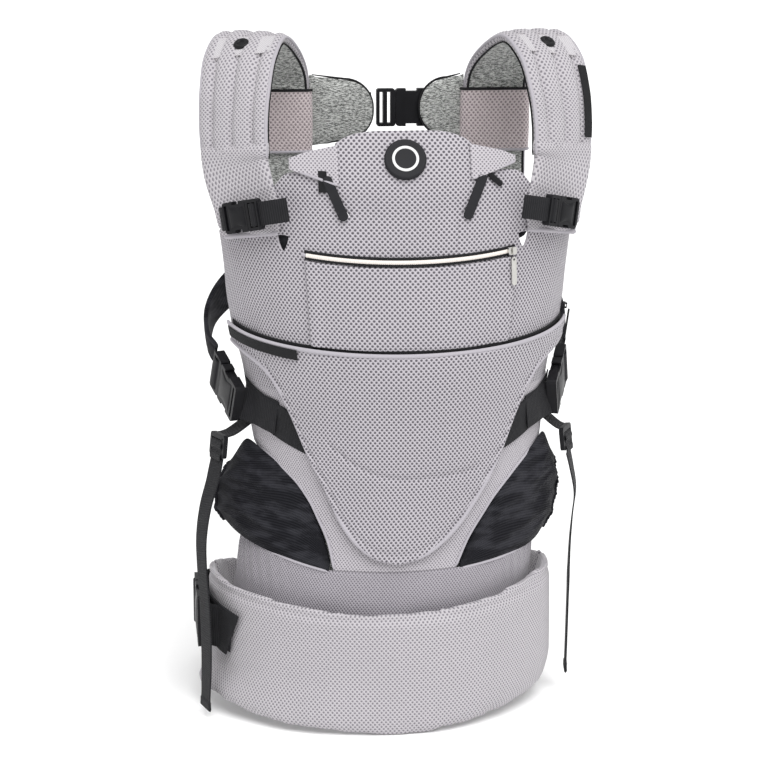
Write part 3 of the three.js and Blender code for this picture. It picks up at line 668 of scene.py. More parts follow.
# ---- camera, light and floor ----------------------------------------------------------------------
CAMERA_AZIMUTH, CAMERA_ELEVATION = math.radians(-5.5), math.radians(13)
CAMERA_DISTANCE = 2.5
CAMERA_LENS = 106
CAMERA_TARGET = Vector((-0.012, 0, 0.285))
SKY = 0.72                                  # strength of the even light from all around
KEY, KEY_SPREAD = 2.6, 45                   # strength and width in degrees of the soft light
KEY_FROM = (0.12, -0.55, 0.82)
FLOOR_REACH = 40                            # metres from the middle to the floor's sides


def add_camera():
    data = bpy.data.cameras.new("camera")
    data.lens = CAMERA_LENS
    data.sensor_width = 36
    camera = bpy.data.objects.new("camera", data)
    bpy.context.scene.collection.objects.link(camera)
    level = math.cos(CAMERA_ELEVATION)
    away = Vector((math.sin(CAMERA_AZIMUTH) * level, -math.cos(CAMERA_AZIMUTH) * level,
                   math.sin(CAMERA_ELEVATION)))
    camera.location = CAMERA_TARGET + away * CAMERA_DISTANCE
    camera.rotation_euler = away.to_track_quat("Z", "Y").to_euler()
    bpy.context.scene.camera = camera


def add_sky():
    """Even light from all around, in front of a white backdrop."""
    world = bpy.data.worlds.new("studio")
    world.use_nodes = True
    nodes, links = world.node_tree.nodes, world.node_tree.links
    sky, backdrop = nodes["Background"], nodes.new("ShaderNodeBackground")
    for light, strength in ((sky, SKY), (backdrop, 1.0)):
        light.inputs["Color"].default_value = (1, 1, 1, 1)
        light.inputs["Strength"].default_value = strength
    seen = nodes.new("ShaderNodeLightPath")
    chosen = nodes.new("ShaderNodeMixShader")
    links.new(seen.outputs["Is Camera Ray"], chosen.inputs[0])
    links.new(sky.outputs[0], chosen.inputs[1])
    links.new(backdrop.outputs[0], chosen.inputs[2])
    links.new(chosen.outputs[0], nodes["World Output"].inputs["Surface"])
    bpy.context.scene.world = world


def add_key():
    data = bpy.data.lights.new("key", "SUN")
    data.energy = KEY
    data.angle = math.radians(KEY_SPREAD)
    key = bpy.data.objects.new("key", data)
    bpy.context.scene.collection.objects.link(key)
    key.rotation_euler = Vector(KEY_FROM).to_track_quat("Z", "Y").to_euler()


def add_floor():
    level = (frame_box[0].z / MM - FLOOR_GAP) * MM
    corners = [(x * FLOOR_REACH, y * FLOOR_REACH, level) for x, y in ((-1, -1), (1, -1), (1, 1), (-1, 1))]
    mesh = bpy.data.meshes.new("floor")
    mesh.from_pydata(corners, [], [(0, 1, 2, 3)])
    mesh.materials.append(studio_floor())
    floor = bpy.data.objects.new("floor", mesh)
    bpy.context.scene.collection.objects.link(floor)


def add_studio():
    bpy.context.scene.view_settings.view_transform = "Standard"
    add_sky()
    add_key()
    add_floor()


# ---- free webbing tails ---------------------------------------------------------------------------
def add_tails():
    for side, name in SIDES:
        line = TAIL_LINES[name]
        at = strap_frame(line)
        tail = ribbon(f"leg_tail_{name}", line, THIN_WEB, WEB_THICK, WEBBING, spacing=2.6,
                      replaces=[f"leg_strap_tail_{name}"])
        tip = ribbon(f"leg_tail_tip_{name}", line, THIN_WEB + 0.8, WEB_THICK * 2, WEBBING,
                     spacing=1.5, cover=(0.955, 1.0), relief=lambda x, v: 0.25 * np.sin(v * 900))
        middle, across, _, out = at(0.957)
        row = [middle + out * 1.75 + across * x for x in (-10, 10)]
        stitch = stitches(f"leg_tail_stitch_{name}", row, [out] * 2, DARK_THREAD, length=1.6, gap=0.8)
        path = [at(v)[0] * MM for v in np.linspace(0, 1, 80)]
        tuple(path[0])


add_camera()
add_studio()
add_tails()


# ---- padding by cloth simulation ------------------------------------------------------------------
def inflate(obj, voxel, cap, pressure=4.0, frames=20):
    """Fills a closed piece as padding does: remeshed, blown up under pressure with each point held within
    cap millimetres of its place, and smoothed."""
    scene = bpy.context.scene
    remesh = obj.modifiers.new("remesh", "REMESH")
    remesh.mode = "VOXEL"
    remesh.voxel_size = voxel * MM
    settle(obj)
    start = np.array([v.co for v in obj.data.vertices])
    cloth = obj.modifiers.new("cloth", "CLOTH")
    cloth.settings.quality = 4
    cloth.settings.mass = 0.3
    cloth.settings.use_pressure = True
    cloth.settings.uniform_pressure_force = pressure
    cloth.settings.effector_weights.gravity = 0
    cloth.point_cache.frame_start, cloth.point_cache.frame_end = 1, frames
    for number in range(1, frames + 1):
        scene.frame_set(number)
    settle(obj)
    scene.frame_set(1)
    move = np.array([v.co for v in obj.data.vertices]) - start
    size = np.linalg.norm(move, axis=1, keepdims=True)
    limit = cap * MM
    points = start + move * np.minimum(1, limit / np.maximum(size, 1e-9))
    obj.data.vertices.foreach_set("co", points.astype(np.float32).ravel())
    relax = obj.modifiers.new("relax", "SMOOTH")
    relax.iterations = 5
    subdivide = obj.modifiers.new("subdivide", "SUBSURF")
    subdivide.levels = subdivide.render_levels = 1
    settle(obj)
    return obj


def settle(obj):
    """Applies the piece's modifiers to its mesh."""
    shape = obj.evaluated_get(bpy.context.evaluated_depsgraph_get())
    mesh = bpy.data.meshes.new_from_object(shape)
    obj.modifiers.clear()
    obj.data = mesh


def reshape(obj, move):
    """Moves a finished piece's points by move(points), both in millimetres."""
    points = np.array([v.co for v in obj.data.vertices]) / MM
    obj.data.vertices.foreach_set("co", (move(points) * MM).astype(np.float32).ravel())
    obj.data.update()


def lay_cloth(obj, cloth):
    """Cloth coordinates from a point's own place, for a piece whose mesh the simulation has remade."""
    mesh = obj.data
    corners = np.zeros(len(mesh.loops), int)
    mesh.loops.foreach_get("vertex_index", corners)
    points = np.array([v.co for v in mesh.vertices]) / MM
    flat = np.stack(cloth(points), axis=-1) * MM
    layer = mesh.uv_layers.get("cloth") or mesh.uv_layers.new(name="cloth")
    layer.data.foreach_set("uv", flat[corners].ravel())
    mesh.uv_layers.active = layer


# ---- waist belt -----------------------------------------------------------------------------------
BELT_OVERLAP = 2.6                          # degrees by which the pads press into each other
BELT_STRETCH, BELT_RISE = 1.12, 0.3         # bring a swelled pad back to its height and place
BELT_TUCK = 9                               # the belt's foot is drawn in by this much on the free side


def belt_angle(points):
    across, ahead = (points[:, 0] - BELT_SHIFT) / BELT_HALF_WIDTH, -points[:, 1] / BELT_FRONT_DEPTH
    return np.degrees(np.arctan2(across, ahead))


def add_belt_pad(name, left, right):
    """One padded stretch of the belt: swelled by the simulation, then sewn along its top edge."""
    inset = 2.0

    def place(u, v, lift):
        theta = mix(left - BELT_OVERLAP, right + BELT_OVERLAP, u)
        z = mix(belt_bottom(theta) + inset, belt_top(theta) - inset, v)
        return belt_point(theta, z, lift - BELT_THICK / 2)

    size = (math.radians(right - left) * 180, 130)
    pad = shell(name, place, size, BELT_THICK - 2 * inset, MESH_STRAP, lambda u, v: (u, v), spacing=5)
    inflate(pad, voxel=5, cap=5)

    def sew(points):
        theta = belt_angle(points)
        top = belt_top(theta)
        outward = np.stack([np.sin(np.radians(theta)), -np.cos(np.radians(theta)), 0 * theta], axis=-1)
        seam = -2.2 * hump(points[:, 2], top - 13, 3.0)
        waves = 1.3 * ripple(theta * 3, points[:, 2], 70, 3) * step(0, 20, top - points[:, 2])
        outer = (outward * (points - belt_point(theta, points[:, 2], -BELT_THICK / 2))).sum(1) > 0
        points[:, 2] = BELT_STRETCH * points[:, 2] + BELT_RISE
        tuck = BELT_TUCK * (1 - step(-65, -15, points[:, 2])) * step(30, 80, theta)
        return points + outward * ((seam + waves) * outer - tuck)[:, None]

    reshape(pad, sew)
    lay_cloth(pad, lambda points: (np.radians(belt_angle(points)) * BELT_RADIUS, points[:, 2]))
    dress(pad, MESH_STRAP)


def add_belt():
    add_belt_pad("belt_front", -96, 96)
    add_belt_pad("belt_wing_left", -152, -96.2)
    add_belt_pad("belt_wing_right", 96.2, 152)


# ---- body panels ----------------------------------------------------------------------------------
def body_layer(name, left, right, bottom, top, inner, outer, material, body="carrier", spacing=3.0,
               relief=None, surface=body_point, cloth=body_cloth):
    """A layer of the body between angles left and right, which may follow the height share, and heights
    bottom and top, which may follow the angle. relief(theta, z) lifts its outer face."""
    left_at, right_at, bottom_at, top_at = (varying(value) for value in (left, right, bottom, top))

    def spot(u, v):
        theta = mix(left_at(v), right_at(v), u)
        return theta, mix(bottom_at(theta), top_at(theta), v)

    def place(u, v, lift):
        theta, z = spot(u, v)
        out = (inner + outer) / 2 + lift
        if relief is not None:
            out = out + relief(theta, z) * np.where(lift > 0, 1, 0.6)
        return surface(theta, z, out)

    angles = np.array([left_at(np.array(0.5)), right_at(np.array(0.5))])
    heights = [top_at(np.array(t)) - bottom_at(np.array(t)) for t in (angles[0] * 0.5, 0.0, angles[1] * 0.5)]
    size = (math.radians(float(angles[1] - angles[0])) * BODY_RADIUS, float(max(heights)))
    return shell(name, place, size, outer - inner, material, lambda u, v: cloth(*spot(u, v)), body, spacing)


def tension(theta, z):
    """Soft drags in the front cloth: broad lumps, and slanting pulls towards the shoulders."""
    pulls = ripple(theta * 3 + z * np.sign(theta) * 0.5, z - np.abs(theta) * 1.5, 34, 5)
    return 1.2 * ripple(theta * 3, z, 60, 2) + 0.9 * pulls * step(20, 60, np.abs(theta))


def add_seat_band():
    def relief(theta, z):
        gathers = np.sin(np.radians(theta) * 60 + z * 0.12) * step(30, 75, np.abs(theta))
        return 1.0 * gathers * step(60, 100, z) + 1.5 * ripple(theta * 3, z, 40, 8)

    # The seat band wears the darker mesh, its darkness painted shade.
    body_layer("seat_band", -84, 84, 34, lambda t: band_top(t) - 0.4, -SHELL, 0, MESH_BAND_PAINTED_SHADE, relief=relief)


def add_body_panel():
    low, high = 106.5, 301

    def right(v):
        return gusset_inner(mix(low, high - 1, v))

    body_layer("body_panel", lambda v: -right(v), right, low, high, -SHELL, 0, MESH_FINE,
               relief=lambda t, z: 1.2 * ripple(t * 3, z, 45, 9))
    for side, name in SIDES:
        heights = np.linspace(109, 292, 70)
        points, normals = on_body(side * (gusset_inner(heights) - 0.6), heights, -0.5)
        cordage(f"gusset_edge_{name}", points, 1.6, EDGING_PAINTED_SHADE, normals=normals)
        angles = side * np.linspace(26, 83, 50)
        points, normals = on_body(angles, band_top(angles) - 1.6, -0.5)
        cordage(f"band_edge_{name}", points, 1.5, EDGING_PAINTED_SHADE, normals=normals)


def add_gussets():
    """Black leg gussets: ribbed cloth gathered into folds that fan out from the pointed inner end."""
    for side, name in SIDES:
        fullness = 30 if side < 0 else 20

        def place(u, v, lift, side=side, fullness=fullness):
            angle = mix(25.6, 88, u)
            z = mix(band_top(side * angle) - 2, gusset_top(angle) + 4, v)
            bulge = fullness * u * u * np.sin(math.pi * (0.2 + 0.6 * v))
            creases = 1 - np.abs(np.sin(v * 8 + u * 1.6 + 0.5 * np.sin(u * 6)))
            fine = 1 - np.abs(np.sin(v * 15 - u * 3.5))
            folds = u**1.2 * (4.5 * creases**1.6 + 2.4 * fine**1.6) * (1 - 0.5 * step(0.85, 1, u))
            soft = 1.4 * ripple(angle * 3, z, 22, 11) * u
            inner = step(0, 0.1, v) * step(0, 0.1, 1 - v)
            out = bulge + (folds + soft) * inner - 2.2 * (1 - inner) + lift - 1.5
            return body_point(side * angle, z, out)

        shell(f"gusset_{name}", place, (160, 95), 3, RIBBED,
              lambda u, v: (u * 150, v * 95 * (0.3 + 0.7 * u)), spacing=1.8)
        share = np.linspace(0.04, 0.96, 110)
        leg_edge = np.ones(len(share))
        points = place(leg_edge, share, 0.0)
        normals = unit(place(leg_edge, share, 5.0) - points)
        swell = 1.3 * np.sin(np.arange(len(share)) * 1.05)[:, None]
        cordage(f"gusset_elastic_{name}", points + normals * swell, 3.2, RIBBED,
                normals=normals)


def add_lining():
    body_layer("inner_lining", lambda v: mix(-80, -64, v), lambda v: mix(80, 64, v), 42,
               lambda t: 470 - 45 * step(33, 42, np.abs(t)), -SHELL - 7, -SHELL - 4,
               HEATHER, spacing=5, relief=lambda t, z: 0.8 * ripple(t * 3, z, 50, 14))


# ---- overlay and its webbing ----------------------------------------------------------------------
def above(height, lift):
    """A height line moved up by lift."""
    return lambda theta: height(theta) + lift


def overlay_low(theta):
    return overlay_bottom(np.abs(theta))


def add_overlay():
    def relief(theta, z):
        seam_height = 211 + np.where(theta < 0, 0.045, 0.012) * theta**2
        cross_seam = -2.0 * hump(z, seam_height, 2.8) * (1 - step(24, 32, np.abs(theta)))
        edge = -1.2 * hump(z - overlay_low(theta), 9, 3.0)
        return 1.6 * ripple(theta * 3, z, 70, 4) + cross_seam + edge

    body_layer("overlay_panel", -81, 81, overlay_low, overlay_top, 4.6, 7.6, MESH, relief=relief, spacing=2.6)
    theta = np.linspace(-80, 80, 220)
    points, normals = on_body(theta, overlay_low(theta) + 1.5, 6.6)
    cordage("overlay_edging", points, 2.3, EDGING_PAINTED_SHADE, squeeze=0.8, normals=normals)
    theta = np.linspace(-80, 80, 120)
    points, normals = on_body(theta, overlay_top(theta) + 1.5, 6.5)
    cordage("overlay_top_binding", points, 2.4, EDGING_PAINTED_SHADE, squeeze=0.75, normals=normals)
    body_layer("overlay_label", -76, -38, above(overlay_top, -10.5), above(overlay_top, 0.5), 8.6, 9.8,
               BINDING, spacing=2)
    body_layer("overlay_zip", -77, 77, above(overlay_top, -12), above(overlay_top, 6.5), 0.8, 2.6,
               BINDING, spacing=2.5)


def add_side_webbing():
    for side, name in SIDES:
        near, far = (-78, -34) if side < 0 else (34, 78)

        def low(theta):
            return mix(228, 268, (np.abs(theta) - 34) / 48)

        body_layer(f"side_webbing_{name}", near, far, low, above(low, SIDE_WEB + 2), 0.8, 2.4, WEBBING,
                   spacing=2.5, cloth=lambda t, z: (z - low(t), np.radians(t) * BODY_RADIUS))


# ---- pocket ---------------------------------------------------------------------------------------
def add_pocket():
    def relief(theta, z):
        middle = (ZIP_LEFT + ZIP_RIGHT) / 2
        crease = 1.5 * (1 - step(0, 4, np.abs(np.abs(theta - middle) - 33)))
        return crease + 1.8 * ripple(theta * 3, z, 50, 6)

    body_layer("pocket_panel", ZIP_LEFT, ZIP_RIGHT, above(overlay_top, 6.0), above(zip_height, -6.2), 0.8,
               3.2, MESH, relief=relief)
    body_layer("pocket_zip_tape", ZIP_LEFT, ZIP_RIGHT, above(zip_height, -5.0), above(zip_height, 5.0),
               0.6, 2.6, BINDING, spacing=2)
    theta = np.linspace(ZIP_LEFT + 0.6, ZIP_RIGHT - 0.6, 460)
    points, normals = on_body(theta, zip_height(theta), 2.9)
    teeth = 0.27 * np.sin(np.arange(len(theta)) * math.pi * 0.5)
    points = points + normals * teeth[:, None]
    cordage("pocket_zip_coil", points, 2.1, ZIP_WHITE, squeeze=0.42, normals=normals)
    theta = np.array([ZIP_LEFT - 0.6, ZIP_LEFT + 0.6])
    points, normals = on_body(theta, zip_height(theta), 3.2)
    cordage("pocket_zip_stop", points, 4, EDGING_PAINTED_SHADE, normals=normals, squeeze=0.5)


# ---- upper panel and head support -----------------------------------------------------------------
FLAP_Z, HEADREST_TOP = 443, 575             # its cloth starts behind the pocket zip
NOTCH = 16.4                                # angle of the panel's notch, just behind the head support
PANEL_SIDE = 84                             # angle of the upper panel's sides


def upper_top(theta):
    side = np.abs(theta)
    return np.where(side < NOTCH, zip_height(theta) + 1, corner_top(np.maximum(side, 17.5)))


def add_upper_panel():
    gap = 0.1
    columns = np.concatenate([
        np.linspace(-PANEL_SIDE, -NOTCH - gap, 90),
        np.linspace(-NOTCH + gap, NOTCH - gap, 44),
        np.linspace(NOTCH + gap, PANEL_SIDE, 90),
    ])
    rows = shares(190, 3.2, 2)
    theta, v = np.meshgrid(columns, rows, indexing="ij")
    z = mix(299, upper_top(theta), v)
    half = rounding(v, 190, 2) * SHELL / 2 * rounding((theta / PANEL_SIDE + 1) / 2, 500, 2)
    out = -SHELL / 2 + tension(theta, z)
    points, faces = closed_layer(body_point(theta, z, out + half), body_point(theta, z, out - half))
    flat = np.stack(body_cloth(theta, z), axis=-1).reshape(-1, 2)
    cut_gaps(make("upper_panel", points, faces, MESH, cloth=np.concatenate([flat, flat])))


def gap_prism(side):
    """The shield-shaped gap below a yoke's rolled edge, as a prism through the panel."""
    outline = [(-7, 8), (-3, 9.3), (3, 9.3), (7, 8), (5.6, 1), (3, -5), (0, -9), (-3, -5), (-5.6, 1)]
    turn = math.radians(side * 30)
    across = np.array([math.cos(turn), math.sin(turn), 0])
    through = np.array([-math.sin(turn), math.cos(turn), 0])
    middle = np.array([side * 127, -92, 459])
    rings = [middle + across * x + np.array([0, 0, z]) + through * d for d in (-30, 30) for x, z in outline]
    count = len(outline)
    mesh = bpy.data.meshes.new("gap")
    faces = [(i, (i + 1) % count, count + (i + 1) % count, count + i) for i in range(count)]
    faces += [tuple(range(count))[::-1], tuple(range(count, 2 * count))]
    mesh.from_pydata([tuple(p * MM) for p in rings], [], faces)
    work = bmesh.new()
    work.from_mesh(mesh)
    bmesh.ops.recalc_face_normals(work, faces=work.faces)
    work.to_mesh(mesh)
    work.free()
    prism = bpy.data.objects.new("gap", mesh)
    bpy.context.scene.collection.objects.link(prism)
    return prism


def cut_gaps(panel):
    prisms = [gap_prism(side) for side, _ in SIDES]
    for prism in prisms:
        cut = panel.modifiers.new("gap", "BOOLEAN")
        cut.operation = "DIFFERENCE"
        cut.solver = "EXACT"
        cut.object = prism
    settle(panel)
    for prism in prisms:
        bpy.data.objects.remove(prism)
    panel.data.materials.clear()
    panel.data.materials.append(MESH)


def add_head_support():
    """Padded head support. Its cloth runs down behind the pocket zip and across the fold line."""
    def left(v):
        return -headrest_edge(mix(FLAP_Z, HEADREST_TOP, v)) - 0.1

    def top(theta):
        return HEADREST_TOP - 18 * (np.abs(theta) / 23) ** 4

    def relief(theta, z):
        crown = 4.0 * np.cos(np.radians(theta) * 3.6) * step(485, 520, z) * step(0, 14, top(theta) - z)
        drags = tension(theta, z) * (1 - step(FLAP_Z, FLAP_Z + 60, z))
        return drags + crown + 1.2 * ripple(theta * 3, z, 38, 15)

    flap = body_layer("headrest", left, lambda v: -left(v), above(zip_height, 2), top, -SHELL, 0, MESH, body=None,
                      spacing=2.6, relief=relief)
    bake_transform(flap)


def add_ear_flaps():
    """Pointed flaps beside the head support, each with a bound lower edge."""
    def top(theta):
        side = np.abs(theta)
        return mix(560, 550, (side - 22) / 14) - 2 * step(30, 36, side)

    for side, name in SIDES:
        near, far = (-36, -20) if side < 0 else (20, 36)
        low = 523 if side < 0 else 528

        def bottom(theta, low=low):
            return low + np.abs(theta) - 22

        body_layer(f"ear_flap_{name}", near, far, bottom, top, 1.2, 4.2, MESH_FINE, body="head_support", spacing=2,
                   relief=lambda t, z: 1.5 * np.sin(t * 0.3))
        angles = side * np.linspace(20.5, 35.5, 24)
        points, normals = on_body(angles, bottom(angles) + 0.5, 3.0)
        cordage(f"ear_flap_edge_{name}", points, 1.5, EDGING_PAINTED_SHADE, "head_support", normals=normals)


add_belt()
add_seat_band()
add_body_panel()
add_gussets()
add_lining()
add_overlay()
add_side_webbing()
add_pocket()
add_upper_panel()
add_head_support()
add_ear_flaps()


# ---- shoulder straps ------------------------------------------------------------------------------
STRAP_WIDTH, STRAP_BACK_WIDTH = 84, 68
SEAM_AT = 25                                # side seams of a strap, from its middle
SNAP_SHARE = 0.3                            # share of a strap's line where its snap cap sits


def strap_width(v):
    return mix(STRAP_WIDTH, STRAP_BACK_WIDTH, step(0.25, 0.55, v))


def strap_relief(x, v):
    """A strap's outer face: crowned, with a middle and two side seams sunk into the padding."""
    half = strap_width(v) / 2
    seams = hump(x, 0, 4.2) + 0.9 * (hump(x, SEAM_AT, 3.6) + hump(x, -SEAM_AT, 3.6))
    puckers = 0.5 * np.sin(v * 420) * (hump(x, 0, 8) + hump(np.abs(x), SEAM_AT, 7))
    return 2.0 - 3.4 * (x / half) ** 2 - 5.2 * seams + puckers + 1.1 * ripple(x, v * 480, 26, 21)


def edge_of(line, x_share, out, cover=(0, 1), count=120, width=strap_width):
    """Points along a strap, at a share of its half width and a height above its middle, and their normals."""
    at = strap_frame(line)
    points, normals = [], []
    for v in np.linspace(*cover, count):
        middle, side, _, away = at(v)
        points.append(middle + side * x_share * width(v) / 2 + away * out)
        normals.append(away)
    return np.array(points), np.array(normals)


def add_shoulder_straps():
    for side, name in SIDES:
        line = mirrored(side, STRAP_LINE)
        strap = ribbon(f"shoulder_strap_{name}", line, strap_width, STRAP_THICK, MESH_STRAP,
                       spacing=2.6, relief=strap_relief)
        ribbon(f"strap_lining_{name}", line, lambda v: strap_width(v) - 7, 1.8, HEATHER,
               spacing=4, offset=-STRAP_THICK / 2 - 0.3, cover=(0.01, 0.995))
        for way, edge in ((-1, "inner"), (1, "outer")):
            points, normals = edge_of(line, way * 0.985, 1.0)
            cordage(f"strap_{edge}_piping_{name}", points, 2.0, EDGING_PAINTED_SHADE, normals=normals)
            points, normals = edge_of(line, way * 0.93, -STRAP_THICK / 2 - 0.4)
            cordage(f"strap_{edge}_tape_{name}", points, 1.5, BINDING, squeeze=0.45,
                    normals=normals)
            points, normals = edge_of(line, way * 2 * SEAM_AT / STRAP_WIDTH, STRAP_THICK / 2 - 2.6, count=160,
                                      width=lambda v: STRAP_WIDTH)
            stitches(f"strap_{edge}_stitch_{name}", points, normals, LIGHT_THREAD)
        add_snap_patch(side, name, line)
    ribbon("strap_label", mirrored(1, STRAP_LINE), 11, 1.0, BINDING, spacing=2,
           offset=STRAP_THICK / 2 + 0.8, shift=33, cover=(0.055, 0.245))


def add_snap_patch(side, name, line):
    """The sewn patch under the snap cap, with zigzag stitching along its ends, and the cap."""
    cover = (SNAP_SHARE - 0.032, SNAP_SHARE + 0.028)
    ribbon(f"snap_patch_{name}", line, lambda v: strap_width(v) - 12, 1.0, PATCH, spacing=2.2,
           relief=lambda x, v: -2.2 * (2 * x / strap_width(v)) ** 2, offset=STRAP_THICK / 2 + 0.2, cover=cover)
    at = strap_frame(line)
    for end, place in enumerate(cover):
        points, normals = [], []
        for k, x in enumerate(np.linspace(-34, 34, 29)):
            middle, across, along, out = at(place + (0.006 if k % 2 else -0.006))
            lift = STRAP_THICK / 2 + 0.7 - 2.2 * (x / 40) ** 2
            points.append(middle + across * x + out * lift)
            normals.append(out)
        cordage(f"snap_patch_zigzag_{end}_{name}", points, 0.55, LIGHT_THREAD, sides=5,
                normals=np.array(normals))
    middle, _, along, out = at(SNAP_SHARE)
    profile = [(0.0, 1.3), (3.4, 1.3), (4.2, 2.3), (6.2, 2.8), (7.6, 2.4), (8.6, 1.2), (8.6, 0), (0.0, 0)]
    turned(f"snap_cap_{name}", profile, middle + out * (STRAP_THICK / 2 + 0.8), out, PLASTIC,
           replaces=[f"snap_{name}"])


def turned(name, profile, centre, axis, material, body="carrier", sides=48, replaces=()):
    """A turned piece: profile points are (radius, height) from its axis out and back to it."""
    axis = unit(np.array(axis, float))
    across = unit(np.cross(axis, (0.0, 0.0, 1.0) if abs(axis[2]) < 0.9 else (1.0, 0.0, 0.0)))
    other = np.cross(axis, across)
    angles = np.linspace(0, 2 * math.pi, sides, endpoint=False)
    round_axis = [math.cos(a) * across + math.sin(a) * other for a in angles]
    points = [centre + r * way + h * axis for r, h in profile for way in round_axis]
    return make(name, points, ring_faces(len(profile), sides), material, body, replaces=replaces)


YOKE_SEAMS = (0.12, 0.43, 0.49)              # shares of the yoke's line where it is sewn across


def yoke_thickness(v):
    """The yoke wraps the strap's end at its top and is one flat layer at its foot."""
    return mix(17, 5, step(0.1, 0.6, v))


def add_yokes():
    """Where a strap is sewn to the front: two cross seams, and a rolled lower edge above the gap."""
    def relief(x, v):
        seams = hump(v, YOKE_SEAMS[0], 0.02) + hump(v, YOKE_SEAMS[1], 0.02) + hump(v, YOKE_SEAMS[2], 0.02)
        pulls = ripple(x + v * 60, v * 90, 17, 31) + 0.9 * np.sin(v * 22 + x * 0.11)
        return (-1.5 * seams + 1.5 * pulls * step(0.5, 0.7, v) + 0.5) * (1 - step(28, 38, np.abs(x)))

    for side, name in SIDES:
        line = mirrored(side, YOKE_LINE)
        ribbon(f"strap_yoke_{name}", line, lambda v: mix(87, 72, v), yoke_thickness, MESH_STRAP, spacing=2.4,
               relief=relief)
        at = strap_frame(line)
        for row, place in enumerate(YOKE_SEAMS):
            middle, across, _, out = at(place)
            lift = yoke_thickness(place) / 2 - 0.3
            points = [middle + across * x + out * lift for x in (-36, 0, 36)]
            stitches(f"yoke_stitch_{row}_{name}", points, [out] * 3, LIGHT_THREAD)
        middle, across, _, out = at(1.0)
        places = np.linspace(-35, 35, 30)
        points = [middle + across * x + out * (0.5 + 2 * math.sin(x * 0.12)) for x in places]
        cordage(f"yoke_roll_{name}", points, 2.8, EDGING_PAINTED_SHADE, normals=np.tile(out, (len(places), 1)))


STRAP_END_SHIFT = 6                         # a strap end hangs this far outside its line


def add_strap_ends():
    def width(v):
        return mix(mix(66, 44, step(0, 0.1, v)), 40, v)

    def relief(x, v):
        return -1.5 * (2 * x / width(v)) ** 2 - 1.0 * hump(np.abs(x), width(v) / 2 - 7, 1.6)

    for side, name in SIDES:
        line = mirrored(side, strap_end_line(side))
        ribbon(f"strap_end_{name}", line, width, lambda v: mix(10, 5, v), RIBBED,
               relief=relief,
               shift=side * STRAP_END_SHIFT)
        ribbon(f"strap_end_lining_{name}", line, lambda v: width(v) - 6, 1.4, HEATHER,
               offset=-3.6, shift=side * STRAP_END_SHIFT, cover=(0.02, 0.42))


# ---- sleeves, cross pads and chest strap ----------------------------------------------------------
SLEEVE_LOW, SLEEVE_HIGH = 531, 602
SLEEVE_WIDTH, SLEEVE_DEPTH, SLEEVE_WALL = 77, 21, 2


def rounded_loop(width, depth, radius, count=10):
    """Points of a rounded rectangle around the origin."""
    points = []
    for turn, (sx, sy) in enumerate(((1, 1), (-1, 1), (-1, -1), (1, -1))):
        for a in np.linspace(0, 90, count):
            angle = math.radians(a + 90 * turn)
            points.append((sx * (width / 2 - radius) + radius * math.cos(angle),
                           sy * (depth / 2 - radius) + radius * math.sin(angle)))
    return np.array(points)


def tube_around(name, centre, low, high, width, depth, wall, material, body, rows=14, swell=0.0):
    """A flat sleeve around an upright strap, its wall closed at both rims."""
    rings, flat = [], []
    heights = np.linspace(low, high, rows)
    tour = [(z, 0.0) for z in heights] + [(z, wall) for z in heights[::-1]]
    for z, inset in tour:
        share = (z - low) / (high - low)
        belly = swell * math.sin(math.pi * share) if not inset else 0
        grow = belly - 2 * inset
        loop = rounded_loop(width + grow, depth + grow, min(depth / 2 - inset - 0.2, 9))
        rings += [(centre[0] + x, centre[1] + y, z) for x, y in loop]
        flat += [(s, z) for s in run_along(loop)]
    count = len(loop)
    faces = []
    for i in range(len(tour)):
        for j in range(count):
            k, n = (j + 1) % count, (i + 1) % len(tour)
            faces.append((i * count + j, i * count + k, n * count + k, n * count + j))
    return make(name, rings, faces, material, body, flat)


def add_sleeves():
    for side, name in SIDES:
        centre, body = (side * STRAP_BACK_X, STRAP_BACK_Y), f"sleeve_{name}_body"
        # The sleeve's mesh is lightened by painted light.
        tube_around(f"sleeve_{name}", centre, SLEEVE_LOW, SLEEVE_HIGH, SLEEVE_WIDTH, SLEEVE_DEPTH, SLEEVE_WALL,
                    MESH_SLEEVE_PAINTED_LIGHT, body, swell=1.6)
        for edge, z in (("top", SLEEVE_HIGH - 1.5), ("bottom", SLEEVE_LOW + 1.5)):
            loop = rounded_loop(SLEEVE_WIDTH - 1, SLEEVE_DEPTH - 1, 8)
            points = [(centre[0] + x, centre[1] + y, z) for x, y in np.vstack([loop, loop[:1]])]
            cordage(f"sleeve_{edge}_binding_{name}", points, 1.7, BINDING if edge == "top" else EDGING_PAINTED_SHADE, body)


SLEEVE_EDGE = STRAP_BACK_X - SLEEVE_WIDTH / 2
PAD_TUCK = 4.0                              # how far a pad reaches under its sleeve's edge
PADS = {"left": (-1, 68, 78, 5, 578), "right": (1, 46, 74, 4, 580)}


def pad_outline(name):
    """Rim of a cross pad in X and Z: straight by the sleeve, round at its inner end."""
    side, length, height, drop, z = PADS[name]
    r = height / 2 - drop - 2
    start = side * SLEEVE_EDGE - side * 0.4
    outline = [(0, -height / 2)]
    outline += [(length - r + r * math.cos(a), -height / 2 + drop + r + r * math.sin(a))
                for a in np.linspace(-math.pi / 2, 0, 12)]
    outline += [(length - r + r * math.cos(a), height / 2 - drop - r + r * math.sin(a))
                for a in np.linspace(0, math.pi / 2, 12)]
    outline.append((0, height / 2))
    return np.array([(start - side * x, STRAP_BACK_Y, z + up) for x, up in outline])


